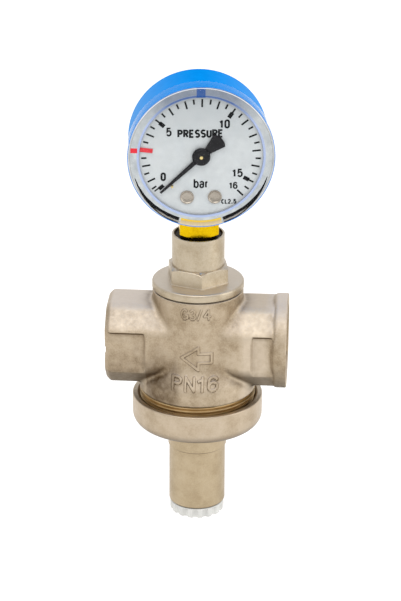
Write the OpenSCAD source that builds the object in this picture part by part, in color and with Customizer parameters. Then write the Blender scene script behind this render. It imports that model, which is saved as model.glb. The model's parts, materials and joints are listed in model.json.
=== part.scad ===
// Direct-acting pressure reducing valve with a dial gauge, in millimetres.
// Origin: centre of the inlet port's end face. +X leaves the inlet, +Z runs up the valve's axis.

/* [Pipe ports] */
// Distance from the valve's axis to each port's end face
port_reach = 33; // [33:0.5:36]
// Radius at the crests of each port's G 3/4 pipe thread
port_bore_r = 12.06; // [11.9:0.02:12.3]
// Length of the threaded wall in each port
port_depth = 16; // [13:0.5:16.5]
// Radius of the cast neck behind each port
neck_r = 16; // [15.6:0.1:16.2]
// Half the width of the neck across its flattened front and back
neck_half_w = 14.9; // [14.2:0.1:15.2]
// Half the distance across the wrench flats of each port
flat_half = 15.25; // [14.8:0.05:15.4]
// Radius that rounds the corners of the wrench flats
corner_r = 16.3; // [16:0.05:16.4]
// Length of the outlet port's wrench flats
outlet_flat_len = 15; // [10:0.5:16]
// Length of the inlet port's wrench flats
inlet_flat_len = 7.2; // [5:0.2:9]
// Radius of the bead at the inlet port's mouth
bead_r = 17.4; // [16.8:0.1:18]
// Length of that bead
bead_len = 5; // [4:0.25:6]

/* [Body barrel] */
// Outside radius of the upright barrel
barrel_r = 16.6; // [16.4:0.1:17]
// Height of the barrel's top rim
barrel_top = 20.3; // [19.5:0.1:21]
// Radius of the male thread that the spring bonnet screws on
housing_r = 21.3; // [21:0.1:21.5]
// Radius of the inlet and outlet chambers
chamber_r = 12.5; // [11.5:0.25:12.75]
// Bore radius of the seat
seat_bore_r = 6; // [5:0.25:6.25]

/* [Top cover] */
// Radius of the cover's flange
flange_r = 16.74; // [16.5:0.02:17]
// Top of the cover's flange
flange_top = 23.6; // [23:0.1:24]
// Distance across the cover's hexagon
hex_across = 20.5; // [20:0.5:22]
// Top of the cover's hexagon
hex_top = 29.6; // [29.2:0.1:30.6]
// Turn of the cover's hexagon from its flats facing +X
hex_turn = 10; // [0:0.5:60]
// Outside radius of the cover's gauge socket
socket_r = 9.53; // [9.3:0.05:10]
// Top of the cover's gauge socket
socket_top = 41.45; // [40:0.25:43]
// Radius of the gauge's G 1/4 thread
gauge_thread_r = 6.55; // [6.4:0.05:6.6]

/* [Spring bonnet] */
// Outside radius of the bonnet's ring
ring_r = 24; // [23.5:0.25:25]
// Top of the bonnet's ring
ring_top = -21.4; // [-21.6:0.1:-21]
// Underside of the bonnet's ring
ring_bottom = -33; // [-34:0.25:-32.5]
// Outside radius of the collar under the ring
collar_r = 10.8; // [10.6:0.1:12]
// Outside radius of the spring tube
tube_r = 10.4; // [10.2:0.1:10.6]
// Inside radius of the spring tube
tube_bore_r = 8.6; // [8.5:0.05:8.8]
// Bottom of the spring tube
tube_bottom = -65.9; // [-70:0.5:-65]

/* [Moving stem] */
// Radius of the stem
stem_r = 3; // [2.8:0.1:3.2]
// Radius of the balancing piston
piston_r = 5.98; // [5.5:0.02:6.1]
// Radius of the disc that closes on the seat
seal_r = 7.8; // [7:0.1:8]
// Wire diameter of the regulating spring
wire_d = 2.6; // [2:0.1:2.8]
// Outside diameter of the regulating spring
spring_d = 15.5; // [15:0.1:16]
// Turns of the regulating spring
spring_turns = 6; // [4:0.5:6.5]

/* [Adjuster and cap] */
// Height of the adjusting screw
adjuster_len = 6; // [5:0.5:6.5]
// Radius of the white cap's rim
cap_r = 10.05; // [9.8:0.05:10.3]
// Bottom of the white cap
cap_bottom = -70.1; // [-71:0.1:-69]
// Scallops around the cap's rim
cap_scallops = 16; // [12:2:24]

/* [Gauge] */
// Height of the gauge's centre above the ports' axis
gauge_height = 76.1; // [75:0.1:78]
// Turn of the gauge from facing straight forward, towards the inlet
gauge_turn = 6.9; // [-30:0.1:30]
// Outside radius of the gauge's case
case_r = 25; // [24.8:0.1:25.2]
// Distance from the valve's axis back to the case's rear wall
case_back = 8.4; // [8:0.1:9]
// Outside radius of the gauge's window
window_r = 26; // [25.8:0.1:26.5]
// Distance from the valve's axis forward to the window's face
window_front = 19.1; // [19:0.1:19.5]
// Distance from the valve's axis forward to the dial's face
dial_front = 15.45; // [15.2:0.05:15.6]
// Distance across the brass socket's flats
socket_across = 14; // [13:0.5:14]
// Reading at the first mark on the dial, as an angle from 3 o'clock
dial_start = 223; // [220:1:230]
// Sweep of the dial's scale
dial_sweep = 268; // [260:2:270]
// Highest reading on the dial
dial_max = 16; // [10:2:20]
// Reading of the red set marker
set_reading = 3; // [1:0.5:6]

/* [Gauge movement] */
// Tooth size of the pinion and sector
gear_module = 0.25; // [0.24:0.01:0.26]
// Teeth on the pinion
pinion_teeth = 12; // [12:1:14]
// Teeth that the sector would have as a full wheel
sector_teeth = 80; // [78:2:84]
// Radius of the curved pressure tube's centre line
bourdon_r = 19; // [18.5:0.1:19.5]

/* [Hidden] */
$fn = 72;

// Overlap that keeps cuts clean
lap = 0.1;
// Running clearance of a shaft in its bore
run_gap = 0.05;

// Body
body_bottom = -25.9;
web_half = 1.5;
guide_top = -15;
guide_bottom = -18;
diaphragm_bore_r = 17;
cover_bore_r = 14.3;
cover_bore_bottom = 12;
passage_half_w = 8;
passage_h = 10;
seat_press_r = 8.5;
seat_lip_top = 2.5;
flare_top = -5;
flare_bottom = -14;
sense_hole_r = 1.2;
sense_hole_circle = 9;
arrow_r = 17.3;

// Diaphragm and bonnet
diaphragm_t = 1.5;
slip_t = 0.8;
bonnet_ledge = body_bottom - diaphragm_t - slip_t;
bonnet_floor = -31.4;
bonnet_bore_r = housing_r + run_gap;
ring_mouth_r = 22.2;
ring_mouth_depth = 0.8;
clamp_r = 20.9;

// Stem, all heights with the valve open
stem_travel = 2.2;
cylinder_top = 18.5;
cylinder_r = piston_r + 0.04;
cover_hub_r = 9;
cover_hub_bottom = 8.5;
stem_top = 16;
piston_bottom = 11;
holder_top = cover_hub_bottom - run_gap;
seal_bottom = seat_lip_top + stem_travel + run_gap;
seal_t = 1.7;
stem_step = body_bottom + diaphragm_t;
stem_end_r = 2.5;
stem_bottom = -32.4;
plate_t = 1.5;
plate_r = 10.5;
seat_plate_r = 10;
seat_plate_bottom = body_bottom - diaphragm_t - plate_t;
nut_across = 8;
nut_h = 2.4;

// Adjuster and cap
washer_t = 1.5;
washer_r = 8.3;
adjuster_top = -51.9;
spring_bottom = adjuster_top + washer_t;
adjuster_r = tube_bore_r - run_gap;
adjuster_key = 8;
adjuster_key_depth = 4;
cap_shank_top = -61.4;
cap_groove_r = 7.2;
cap_groove_top = -63.2;
cap_groove_h = 1.4;

// Gauge, as distances forward of the valve's axis
case_t = 0.9;
case_front = 16.3;
window_t = 0.9;
window_skirt_back = 10.6;
window_face_r = 22.1;
dial_t = 0.5;
dial_r = 23.7;
post_x = 4.9;
post_y = -15.2;
post_r = 1.4;
screw_head_r = 2.45;
block_top = -12;
block_half_d = 5;
back_plate_f = 5.2;
front_plate_f = 12.2;
plate_thick = 1;
pillar_x = 7;
pillar_y = 2;
gear_f = 7.4;
gear_t = 0.8;
link_f = 8.5;
link_t = 0.6;
hair_f = 10.2;
hair_h = 0.9;
pointer_f = 16;
pointer_t = 0.4;
hub_front = 17.45;
arbor_r = 0.8;
pinion_r = gear_module * pinion_teeth / 2;
sector_r = gear_module * sector_teeth / 2;
sector_y = -(pinion_r + sector_r);
// The sector's tail pin, and the pin on the tube's tip, where the link starts and ends
tail_len = 4;
tail_angle = -13.9;
tail_pin = [tail_len * cos(tail_angle), sector_y + tail_len * sin(tail_angle)];
tip_pin = [16.05, 0];
tube_start = 248;
tube_end = 4;
tube_half_w = 3.5;
tube_half_t = 1.1;

// ---- Shared shapes ----

module disc(r, from, to) {
    translate([0, 0, from]) cylinder(r = r, h = to - from);
}

module hollow(outer, inner, from, to) {
    difference() {
        disc(outer, from, to);
        disc(inner, from - lap, to + lap);
    }
}

module along_x(r, from, to) {
    translate([from, 0, 0]) rotate([0, 90, 0]) cylinder(r = r, h = to - from);
}

module o_ring(r, height, minor) {
    translate([0, 0, height]) rotate_extrude() translate([r, 0]) circle(r = minor);
}

module prism_hex(across, from, to) {
    translate([0, 0, from]) cylinder(r = across / sqrt(3), h = to - from, $fn = 6);
}

function arc(centre, r, from, to, steps = 6) =
    [for (i = [0:steps]) let (a = from + (to - from) * i / steps) centre + r * [cos(a), sin(a)]];

// Puts a shape drawn about the valve's axis in its place
module on_valve() {
    translate([-port_reach, 0, 0]) children();
}

// Puts a shape drawn as the dial is seen (X right, Y up, Z towards the viewer) in its place
module on_gauge() {
    on_valve() translate([0, 0, gauge_height]) rotate([0, 0, gauge_turn]) rotate([90, 0, 0]) children();
}

module at_points(points) {
    for (p = points) translate([p[0], p[1], 0]) children();
}

// ---- Body and cover ----

module wrench_flats(from, to) {
    // A round-cornered octagon along X
    intersection() {
        along_x(corner_r, from, to);
        translate([from, 0, 0]) rotate([0, 90, 0])
            rotate([0, 0, 22.5]) cylinder(r = flat_half / cos(22.5), h = to - from, $fn = 8);
    }
}

module body_outside() {
    disc(barrel_r, flare_top, barrel_top);
    rotate_extrude() polygon(concat(
        [[0, flare_top], [barrel_r, flare_top]],
        arc([housing_r, flare_top], housing_r - barrel_r, 180, 240, 4),
        [[housing_r, flare_bottom], [housing_r, body_bottom], [0, body_bottom]]
    ));
    intersection() {
        along_x(neck_r, outlet_flat_len - port_reach - lap, port_reach - bead_len - inlet_flat_len + lap);
        translate([-port_reach, -neck_half_w, -neck_r - lap])
            cube([2 * port_reach, 2 * neck_half_w, 2 * (neck_r + lap)]);
    }
    wrench_flats(-port_reach, outlet_flat_len - port_reach);
    wrench_flats(port_reach - bead_len - inlet_flat_len, port_reach - bead_len);
    along_x(bead_r, port_reach - bead_len, port_reach);
}

// Raised arrow on the barrel's front, pointing to the outlet
module flow_arrow() {
    height = -1.1;
    head = 4.3;
    shaft = 1.8;
    tip_x = -4.7;
    neck_x = 1.4;
    tail_x = 6.1;
    intersection() {
        disc(arrow_r, height - head - lap, height + head + lap);
        translate([0, 0, height]) rotate([90, 0, 0]) linear_extrude(height = arrow_r + lap) polygon([
            [tip_x, 0], [neck_x, head], [neck_x, shaft], [tail_x, shaft],
            [tail_x, -shaft], [neck_x, -shaft], [neck_x, -head]
        ]);
    }
}

module body_passages() {
    disc(cover_bore_r, cover_bore_bottom, barrel_top + lap);
    disc(chamber_r, web_half, cover_bore_bottom + lap);
    disc(chamber_r, guide_top, -web_half);
    disc(seat_press_r, -web_half - lap, web_half + lap);
    disc(stem_r + run_gap, guide_bottom - lap, guide_top + lap);
    disc(diaphragm_bore_r, body_bottom - lap, guide_bottom);
    for (a = [0:120:240])
        rotate([0, 0, a]) translate([sense_hole_circle, 0, 0])
            disc(sense_hole_r, guide_bottom - lap, guide_top + lap);
    // Inlet above the seat, outlet below it
    along_x(port_bore_r, port_reach - port_depth, port_reach + lap);
    along_x(port_bore_r, -port_reach - lap, port_depth - port_reach);
    translate([0, -passage_half_w, web_half])
        cube([port_reach - port_depth + lap, 2 * passage_half_w, passage_h]);
    translate([port_depth - port_reach - lap, -passage_half_w, -web_half - passage_h])
        cube([port_reach - port_depth + lap, 2 * passage_half_w, passage_h]);
}

module valve_body() {
    color([0.78, 0.75, 0.68]) on_valve() difference() {
        union() {
            body_outside();
            flow_arrow();
        }
        body_passages();
    }
}

module seat_ring() {
    lip_r = seat_bore_r + 0.9;
    color([0.75, 0.75, 0.76]) on_valve() difference() {
        union() {
            disc(seat_press_r - 0.01, -web_half, web_half);
            disc(lip_r, web_half - lap, seat_lip_top);
        }
        disc(seat_bore_r, -web_half - lap, seat_lip_top + lap);
    }
}

module top_cover() {
    neck_top = flange_top + 0.4;
    thread_r = cover_bore_r - run_gap;
    groove_bottom = 18.3;
    groove_h = 1.9;
    groove_r = 12.6;
    port_r = 2.5;
    counterbore_r = 8.8;
    counterbore_bottom = 39.4;
    gauge_thread_bottom = 28.5;
    crown_r = hex_across / 2 + 0.35;
    crown_drop = (hex_across - crown_r) * tan(30);
    color([0.8, 0.77, 0.7]) on_valve() difference() {
        union() {
            rotate_extrude() polygon(concat(
                [[0, barrel_top], [flange_r, barrel_top]],
                arc([flange_r - 0.9, flange_top - 0.9], 0.9, 0, 90, 4),
                [[0, flange_top]]
            ));
            disc(thread_r, cover_bore_bottom + lap, barrel_top + lap);
            disc(cover_hub_r, cover_hub_bottom, cover_bore_bottom + 2 * lap);
            disc(hex_across / 2 + 1, flange_top - lap, neck_top);
            intersection() {
                rotate([0, 0, hex_turn + 30]) prism_hex(hex_across, neck_top - lap, hex_top);
                // Turned crown that bevels the hexagon's corners
                rotate_extrude() polygon([
                    [0, flange_top - lap], [hex_across, flange_top - lap],
                    [hex_across, hex_top - crown_drop], [crown_r, hex_top], [0, hex_top]
                ]);
            }
            disc(socket_r, hex_top - lap, socket_top);
        }
        disc(cylinder_r, cover_hub_bottom - lap, cylinder_top);
        disc(port_r, cylinder_top - lap, gauge_thread_bottom + lap);
        disc(gauge_thread_r + run_gap, gauge_thread_bottom, counterbore_bottom + lap);
        disc(counterbore_r, counterbore_bottom, socket_top + lap);
        hollow(cover_bore_r + lap, groove_r, groove_bottom, groove_bottom + groove_h);
    }
}

module cover_o_ring() {
    color([0.1, 0.1, 0.1]) on_valve() o_ring(13.45, 19.25, 0.82);
}

// ---- Bonnet and diaphragm ----

module spring_bonnet() {
    edge_r = 4;
    tube_edge = 1.3;
    fillet_r = 1.4;
    collar_bottom = -42.4;
    color([0.8, 0.74, 0.63]) on_valve() rotate_extrude() polygon(concat(
        [[ring_r, ring_top]],
        arc([ring_r - edge_r, ring_bottom + edge_r], edge_r, 0, -90),
        arc([collar_r + fillet_r, ring_bottom - fillet_r], fillet_r, 90, 180, 4),
        [[collar_r, collar_bottom], [tube_r, collar_bottom - 0.5]],
        arc([tube_r - tube_edge, tube_bottom + tube_edge], tube_edge, 0, -90, 4),
        [[tube_bore_r, tube_bottom], [tube_bore_r, bonnet_floor], [diaphragm_bore_r, bonnet_floor]],
        [[diaphragm_bore_r, bonnet_ledge], [bonnet_bore_r, bonnet_ledge]],
        [[bonnet_bore_r, ring_top - ring_mouth_depth], [ring_mouth_r, ring_top]]
    ));
}

module slip_ring() {
    inner_r = diaphragm_bore_r + 0.3;
    color([0.9, 0.88, 0.8]) on_valve() hollow(clamp_r, inner_r, bonnet_ledge, bonnet_ledge + slip_t);
}

module diaphragm() {
    color([0.12, 0.12, 0.12]) on_valve()
        hollow(clamp_r, stem_end_r + run_gap, body_bottom - diaphragm_t, body_bottom);
}

// ---- Moving stem ----

module valve_stem() {
    bore_r = 1;
    cross_r = 0.8;
    cross_z = -10;
    color([0.7, 0.6, 0.35]) on_valve() difference() {
        union() {
            disc(stem_r, stem_step, piston_bottom);
            disc(stem_end_r, stem_bottom, stem_step + lap);
            disc(stem_end_r, piston_bottom - lap, stem_top);
        }
        disc(bore_r, cross_z - 1, stem_top + lap);
        translate([0, 0, cross_z]) along_x(cross_r, -stem_r - lap, stem_r + lap);
    }
}

module balance_piston() {
    groove_bottom = 12.6;
    groove_h = 1.8;
    groove_r = 4.2;
    color([0.75, 0.65, 0.4]) on_valve() difference() {
        disc(piston_r, piston_bottom, stem_top);
        disc(stem_end_r + run_gap, piston_bottom - lap, stem_top + lap);
        hollow(piston_r + lap, groove_r, groove_bottom, groove_bottom + groove_h);
    }
}

module piston_o_ring() {
    color([0.1, 0.1, 0.1]) on_valve() o_ring(5.1, 13.5, 0.86);
}

module seal_holder() {
    color([0.75, 0.65, 0.4]) on_valve() difference() {
        disc(seal_r, seal_bottom + 0.4, holder_top);
        disc(stem_r + run_gap / 2, seal_bottom - lap, holder_top + lap);
        disc(seal_r - 0.7, seal_bottom, seal_bottom + seal_t);
    }
}

module seat_seal() {
    color([0.12, 0.12, 0.12]) on_valve()
        hollow(seal_r - 0.75, 4.6, seal_bottom, seal_bottom + seal_t - run_gap);
}

module seal_nut() {
    // Sits inside the seal and holds the holder on the stem
    color([0.7, 0.6, 0.35]) on_valve()
        hollow(4.5, stem_r + run_gap / 2, seal_bottom, seal_bottom + seal_t - run_gap);
}

module diaphragm_plate() {
    color([0.7, 0.6, 0.35]) on_valve() hollow(plate_r, stem_end_r + run_gap, body_bottom, stem_step);
}

module spring_seat() {
    color([0.7, 0.7, 0.7]) on_valve()
        hollow(seat_plate_r, stem_end_r + run_gap, seat_plate_bottom, body_bottom - diaphragm_t);
}

module diaphragm_nut() {
    color([0.7, 0.7, 0.72]) on_valve() difference() {
        prism_hex(nut_across, seat_plate_bottom - nut_h, seat_plate_bottom);
        disc(stem_end_r + run_gap / 2, seat_plate_bottom - nut_h - lap, seat_plate_bottom + lap);
    }
}

// ---- Spring, adjuster and cap ----

// Rise of the wire's centre after a share t of the turns, where the end turns are closed
function coil_rise(t) =
    let (closed = 1 / spring_turns, span = seat_plate_bottom - spring_bottom - wire_d)
    t < closed ? wire_d * t / closed
    : t > 1 - closed ? span - wire_d * (1 - t) / closed
    : wire_d + (span - 2 * wire_d) * (t - closed) / (1 - 2 * closed);

module regulating_spring() {
    sides = 8;
    rings_per_turn = 18;
    rings = rings_per_turn * spring_turns;
    wire_r = wire_d / 2 - 0.02;
    coil_r = spring_d / 2 - wire_d / 2;
    foot = spring_bottom + wire_d / 2;
    points = [for (i = [0:rings]) for (s = [0:sides - 1])
        let (t = i / rings, turn = 360 * spring_turns * t)
        let (a = 360 * s / sides, r = coil_r + wire_r * cos(a))
        [r * cos(turn), r * sin(turn), foot + coil_rise(t) + wire_r * sin(a)]];
    faces = concat(
        [for (i = [0:rings - 1]) for (s = [0:sides - 1]) let (n = (s + 1) % sides)
            each [[i * sides + s, (i + 1) * sides + s, (i + 1) * sides + n],
                  [i * sides + s, (i + 1) * sides + n, i * sides + n]]],
        [[for (s = [0:sides - 1]) s]],
        [[for (s = [sides - 1:-1:0]) rings * sides + s]]
    );
    color([0.55, 0.56, 0.58]) on_valve() polyhedron(points = points, faces = faces);
}

module thrust_washer() {
    color([0.7, 0.7, 0.72]) on_valve() disc(washer_r, adjuster_top, adjuster_top + washer_t);
}

module adjusting_screw() {
    adjuster_bottom = adjuster_top - adjuster_len;
    color([0.75, 0.65, 0.4]) on_valve() difference() {
        disc(adjuster_r, adjuster_bottom, adjuster_top);
        prism_hex(adjuster_key, adjuster_bottom - lap, adjuster_bottom + adjuster_key_depth);
    }
}

module cap_seal() {
    color([0.1, 0.1, 0.1]) on_valve() o_ring(7.9, cap_groove_top - cap_groove_h / 2, 0.64);
}

module adjuster_cap() {
    rim_top = tube_bottom;
    scallop_r = 1.1;
    pocket_r = 5.5;
    pocket_top = -62.4;
    color([0.93, 0.93, 0.93]) on_valve() difference() {
        union() {
            rotate_extrude() polygon(concat(
                [[0, rim_top], [cap_r, rim_top]],
                arc([cap_r - 0.7, cap_bottom + 0.7], 0.7, 0, -90, 3),
                [[0, cap_bottom]]
            ));
            disc(adjuster_r, rim_top - lap, cap_shank_top);
        }
        hollow(adjuster_r + lap, cap_groove_r, cap_groove_top - cap_groove_h, cap_groove_top);
        disc(pocket_r, rim_top, cap_shank_top + lap);
        for (i = [0:cap_scallops - 1])
            rotate([0, 0, i * 360 / cap_scallops]) translate([cap_r + scallop_r * 0.35, 0, 0])
                disc(scallop_r, cap_bottom - lap, rim_top - 0.5);
    }
}

// ---- Gauge case and socket ----

module gauge_socket() {
    washer_top = 40.6;
    thread_bottom = 29.5;
    seat_r = 8.3;
    neck_r = 6.8;
    square_bottom = socket_top + 0.45;
    bevel_r = 7.6;
    case_bottom = gauge_height - case_r;
    across = socket_across;
    color([0.9, 0.75, 0.2]) on_valve() rotate([0, 0, gauge_turn]) difference() {
        union() {
            disc(gauge_thread_r, thread_bottom, washer_top);
            disc(seat_r, washer_top - lap, socket_top - 0.5);
            disc(neck_r, socket_top - 0.5 - lap, square_bottom + lap);
            intersection() {
                translate([-across / 2, -across / 2, square_bottom])
                    cube([across, across, case_bottom - square_bottom + 1]);
                // Turned bevel under the square's corners
                rotate_extrude() polygon([
                    [0, square_bottom], [bevel_r, square_bottom],
                    [across, square_bottom + (across - bevel_r) * tan(30)],
                    [across, case_bottom + across], [0, case_bottom + across]
                ]);
            }
            translate([-across / 2, -block_half_d, case_bottom])
                cube([across, 2 * block_half_d, gauge_height + block_top - case_bottom]);
        }
        disc(1.5, thread_bottom - lap, gauge_height - bourdon_r);
    }
}

module gauge_seal_washer() {
    color([0.75, 0.45, 0.3]) on_valve() hollow(8.2, gauge_thread_r + 0.05, 39.4, 40.5);
}

module gauge_case() {
    edge_r = 2.6;
    inner_r = case_r - case_t;
    color([0.1, 0.5, 0.9]) on_gauge() difference() {
        rotate_extrude() polygon(concat(
            [[0, -case_back]],
            arc([case_r - edge_r, edge_r - case_back], edge_r, -90, 0),
            [[case_r, case_front], [inner_r, case_front]],
            arc([case_r - edge_r, edge_r - case_back], edge_r - case_t, 0, -90),
            [[0, case_t - case_back]]
        ));
        // Where the brass socket passes through the case's wall
        translate([-socket_across / 2 - 0.05, -case_r - lap, -socket_across / 2 - 0.05])
            cube([socket_across + 0.1, 6, socket_across + 0.1]);
    }
}

module gauge_window() {
    edge_front = 17.3;
    shoulder_r = 24.6;
    shoulder_front = 18.6;
    inner_r = case_r + run_gap;
    color([0.85, 0.9, 0.95, 0.35]) on_gauge() rotate_extrude() polygon([
        [inner_r, window_skirt_back], [window_r, window_skirt_back], [window_r, edge_front],
        [window_r - 0.4, shoulder_front - 0.5], [shoulder_r, shoulder_front],
        [window_face_r, window_front], [0, window_front], [0, window_front - window_t],
        [window_face_r - 0.4, window_front - window_t],
        [shoulder_r - 0.4, shoulder_front - window_t], [inner_r, edge_front - 0.3]
    ]);
}

// ---- Dial and pointer ----

function reading_angle(bar) = dial_start - dial_sweep * bar / dial_max;

module gauge_dial() {
    hub_hole_r = 1.6;
    color([0.93, 0.94, 0.92]) on_gauge() difference() {
        disc(dial_r, dial_front - dial_t, dial_front);
        disc(hub_hole_r, 0, dial_front + lap);
        at_points([[-post_x, post_y], [post_x, post_y]]) disc(1, 0, dial_front + lap);
        rotate([0, 0, dial_start + 4.4]) translate([15, 0]) disc(0.4, 0, dial_front + lap);
    }
}

module set_marker() {
    marker_w = 1.5;
    marker_t = 0.35;
    inner = 17.1;
    color([0.85, 0.1, 0.12]) on_gauge() rotate([0, 0, reading_angle(set_reading)])
        translate([inner, -marker_w / 2, dial_front]) cube([dial_r - inner, marker_w, marker_t]);
}

module zero_stop_pin() {
    color([0.85, 0.7, 0.3]) on_gauge() rotate([0, 0, dial_start + 4.4]) translate([15, 0])
        disc(0.35, dial_front - dial_t, pointer_f + pointer_t + 0.2);
}

module dial_posts() {
    color([0.85, 0.7, 0.3]) on_gauge() at_points([[-post_x, post_y], [post_x, post_y]])
        disc(post_r, block_half_d, dial_front - dial_t);
}

module dial_screws() {
    head_t = 0.6;
    shank_r = 0.9;
    color([0.75, 0.72, 0.68]) on_gauge() at_points([[-post_x, post_y], [post_x, post_y]]) difference() {
        union() {
            disc(screw_head_r, dial_front, dial_front + head_t);
            disc(shank_r, dial_front - dial_t, dial_front + lap);
        }
        translate([-screw_head_r, -0.3, dial_front + head_t / 2]) cube([2 * screw_head_r, 0.6, head_t]);
    }
}

module gauge_pointer() {
    tip_r = 19.6;
    tail_r = 9.8;
    tail_half = 19;
    hub_r = 3.2;
    root_half = 0.95;
    tip_half = 0.3;
    color([0.06, 0.06, 0.06]) on_gauge() rotate([0, 0, dial_start]) difference() {
        union() {
            translate([0, 0, pointer_f]) linear_extrude(height = pointer_t) {
                polygon([
                    [0, -root_half], [tip_r - 1, -tip_half], [tip_r, 0],
                    [tip_r - 1, tip_half], [0, root_half]
                ]);
                polygon(concat([[0, 0]], arc([0, 0], tail_r, 180 - tail_half, 180 + tail_half)));
            }
            disc(hub_r, pointer_f, pointer_f + pointer_t);
            disc(hub_r - 0.6, pointer_f, hub_front - 0.2);
        }
        disc(arbor_r, 0, hub_front + lap);
    }
}

// ---- Gauge movement ----

function involute(base, t) = base * [cos(t) + t * PI / 180 * sin(t), sin(t) - t * PI / 180 * cos(t)];
function rolled(base, r) = sqrt(pow(r / base, 2) - 1) * 180 / PI;
function swung(p, a) = [p[0] * cos(a) - p[1] * sin(a), p[0] * sin(a) + p[1] * cos(a)];

// One involute tooth, centred on X, from below its root up to its tip
module tooth(teeth, tip, root) {
    pressure = 20;
    slack = 0.13;
    pitch = gear_module * teeth / 2;
    base = pitch * cos(pressure);
    half = 90 / teeth * (1 - slack);
    shift = half + (tan(pressure) * 180 / PI - pressure);
    steps = 3;
    start = max(base, root);
    flank = [for (i = [0:steps]) let (r = start + (tip - start) * i / steps)
        swung(involute(base, rolled(base, r)), -shift)];
    foot = [swung([root - 0.15, 0], -shift), flank[0]];
    lower = concat([foot[0]], flank);
    upper = [for (i = [len(lower) - 1:-1:0]) [lower[i][0], -lower[i][1]]];
    polygon(concat(lower, upper));
}

module pointer_arbor() {
    tip = pinion_r + 0.9 * gear_module;
    root = pinion_r - 1.2 * gear_module;
    collet_r = 1.2;
    color([0.8, 0.78, 0.7]) on_gauge() {
        disc(arbor_r - 0.02, back_plate_f, hub_front);
        disc(collet_r, hair_f - 0.2, hair_f + hair_h);
        translate([0, 0, gear_f - 0.3]) linear_extrude(height = gear_t + 0.6) {
            circle(r = root);
            for (i = [0:pinion_teeth - 1])
                rotate([0, 0, 90 + (i + 0.5) * 360 / pinion_teeth]) tooth(pinion_teeth, tip, root);
        }
    }
}

module sector_gear() {
    tip = sector_r + 0.75 * gear_module;
    root = sector_r - 1.25 * gear_module;
    rim_r = root - 1.6;
    hub_r = 2;
    first_tooth = -11;
    last_tooth = 1;
    pitch_angle = 360 / sector_teeth;
    rim_from = 90 + (first_tooth - 0.5) * pitch_angle;
    rim_to = 90 + (last_tooth + 0.5) * pitch_angle;
    arm = 0.9;
    color([0.85, 0.7, 0.3]) on_gauge() translate([0, sector_y, gear_f]) difference() {
        linear_extrude(height = gear_t) {
            circle(r = hub_r);
            for (i = [first_tooth:last_tooth])
                rotate([0, 0, 90 + i * pitch_angle]) tooth(sector_teeth, tip, root);
            polygon(concat(
                arc([0, 0], root, rim_from, rim_to, 12),
                arc([0, 0], rim_r, rim_to, rim_from, 12)
            ));
            // Two spokes to the rim and the tail to the link
            for (i = [first_tooth + 1, last_tooth - 1])
                rotate([0, 0, 90 + i * pitch_angle]) translate([0, -arm / 2]) square([rim_r + 0.4, arm]);
            rotate([0, 0, tail_angle]) translate([0, -arm]) square([tail_len, 2 * arm]);
            translate([tail_len * cos(tail_angle), tail_len * sin(tail_angle)]) circle(r = arm);
        }
        disc(arbor_r, -lap, gear_t + lap);
    }
    color([0.85, 0.7, 0.3]) on_gauge() translate([tail_pin[0], tail_pin[1], 0])
        disc(0.4, gear_f + gear_t - lap, link_f + link_t + 0.3);
}

module sector_arbor() {
    color([0.8, 0.78, 0.7]) on_gauge() translate([0, sector_y, 0])
        disc(arbor_r - 0.02, back_plate_f, front_plate_f + plate_thick);
}

module connecting_link() {
    hole_r = 0.45;
    slot_r = 0.65;
    eye_r = 1.1;
    run = tip_pin - tail_pin;
    length = norm(run);
    color([0.85, 0.7, 0.3]) on_gauge() translate([tail_pin[0], tail_pin[1], link_f])
        rotate([0, 0, atan2(run[1], run[0])]) difference() {
            union() {
                disc(eye_r, 0, link_t);
                translate([length, 0, 0]) disc(eye_r, 0, link_t);
                translate([0, -0.6, 0]) cube([length, 1.2, link_t]);
            }
            disc(hole_r, -lap, link_t + lap);
            translate([length, 0, 0]) disc(slot_r, -lap, link_t + lap);
        }
}

module movement_plate(at) {
    half_w = 8.5;
    low = -18.5;
    high = 5;
    hole_r = arbor_r + 0.02;
    difference() {
        translate([-half_w, low, at]) cube([2 * half_w, high - low, plate_thick]);
        disc(hole_r, at - lap, at + plate_thick + lap);
        translate([0, sector_y, 0]) disc(hole_r, at - lap, at + plate_thick + lap);
        at_points([[-post_x, post_y], [post_x, post_y]])
            disc(post_r + run_gap, at - lap, at + plate_thick + lap);
    }
}

module movement_back_plate() {
    color([0.85, 0.7, 0.3]) on_gauge() difference() {
        movement_plate(back_plate_f);
        at_points([[-pillar_x, pillar_y], [pillar_x, pillar_y]]) disc(0.7, 0, front_plate_f);
    }
}

module movement_front_plate() {
    color([0.85, 0.7, 0.3]) on_gauge() difference() {
        movement_plate(front_plate_f);
        at_points([[-pillar_x, pillar_y], [pillar_x, pillar_y]])
            disc(0.7, front_plate_f - lap, front_plate_f + plate_thick + lap);
    }
}

module movement_pillars() {
    color([0.85, 0.7, 0.3]) on_gauge() at_points([[-pillar_x, pillar_y], [pillar_x, pillar_y]]) {
        disc(1.2, back_plate_f + plate_thick, front_plate_f);
        disc(0.68, back_plate_f, back_plate_f + plate_thick + lap);
    }
}

module movement_screws() {
    color([0.6, 0.6, 0.62]) on_gauge() at_points([[-pillar_x, pillar_y], [pillar_x, pillar_y]]) {
        disc(1.3, front_plate_f + plate_thick, front_plate_f + plate_thick + 0.6);
        disc(0.68, front_plate_f, front_plate_f + plate_thick + lap);
    }
}

module bourdon_tube() {
    color([0.85, 0.65, 0.3]) on_gauge() rotate([0, 0, tube_end])
        rotate_extrude(angle = tube_start - tube_end) translate([bourdon_r, 0]) polygon(concat(
            arc([0, tube_half_w - tube_half_t], tube_half_t, 0, 180),
            arc([0, tube_half_t - tube_half_w], tube_half_t, 180, 360)
        ));
}

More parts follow.
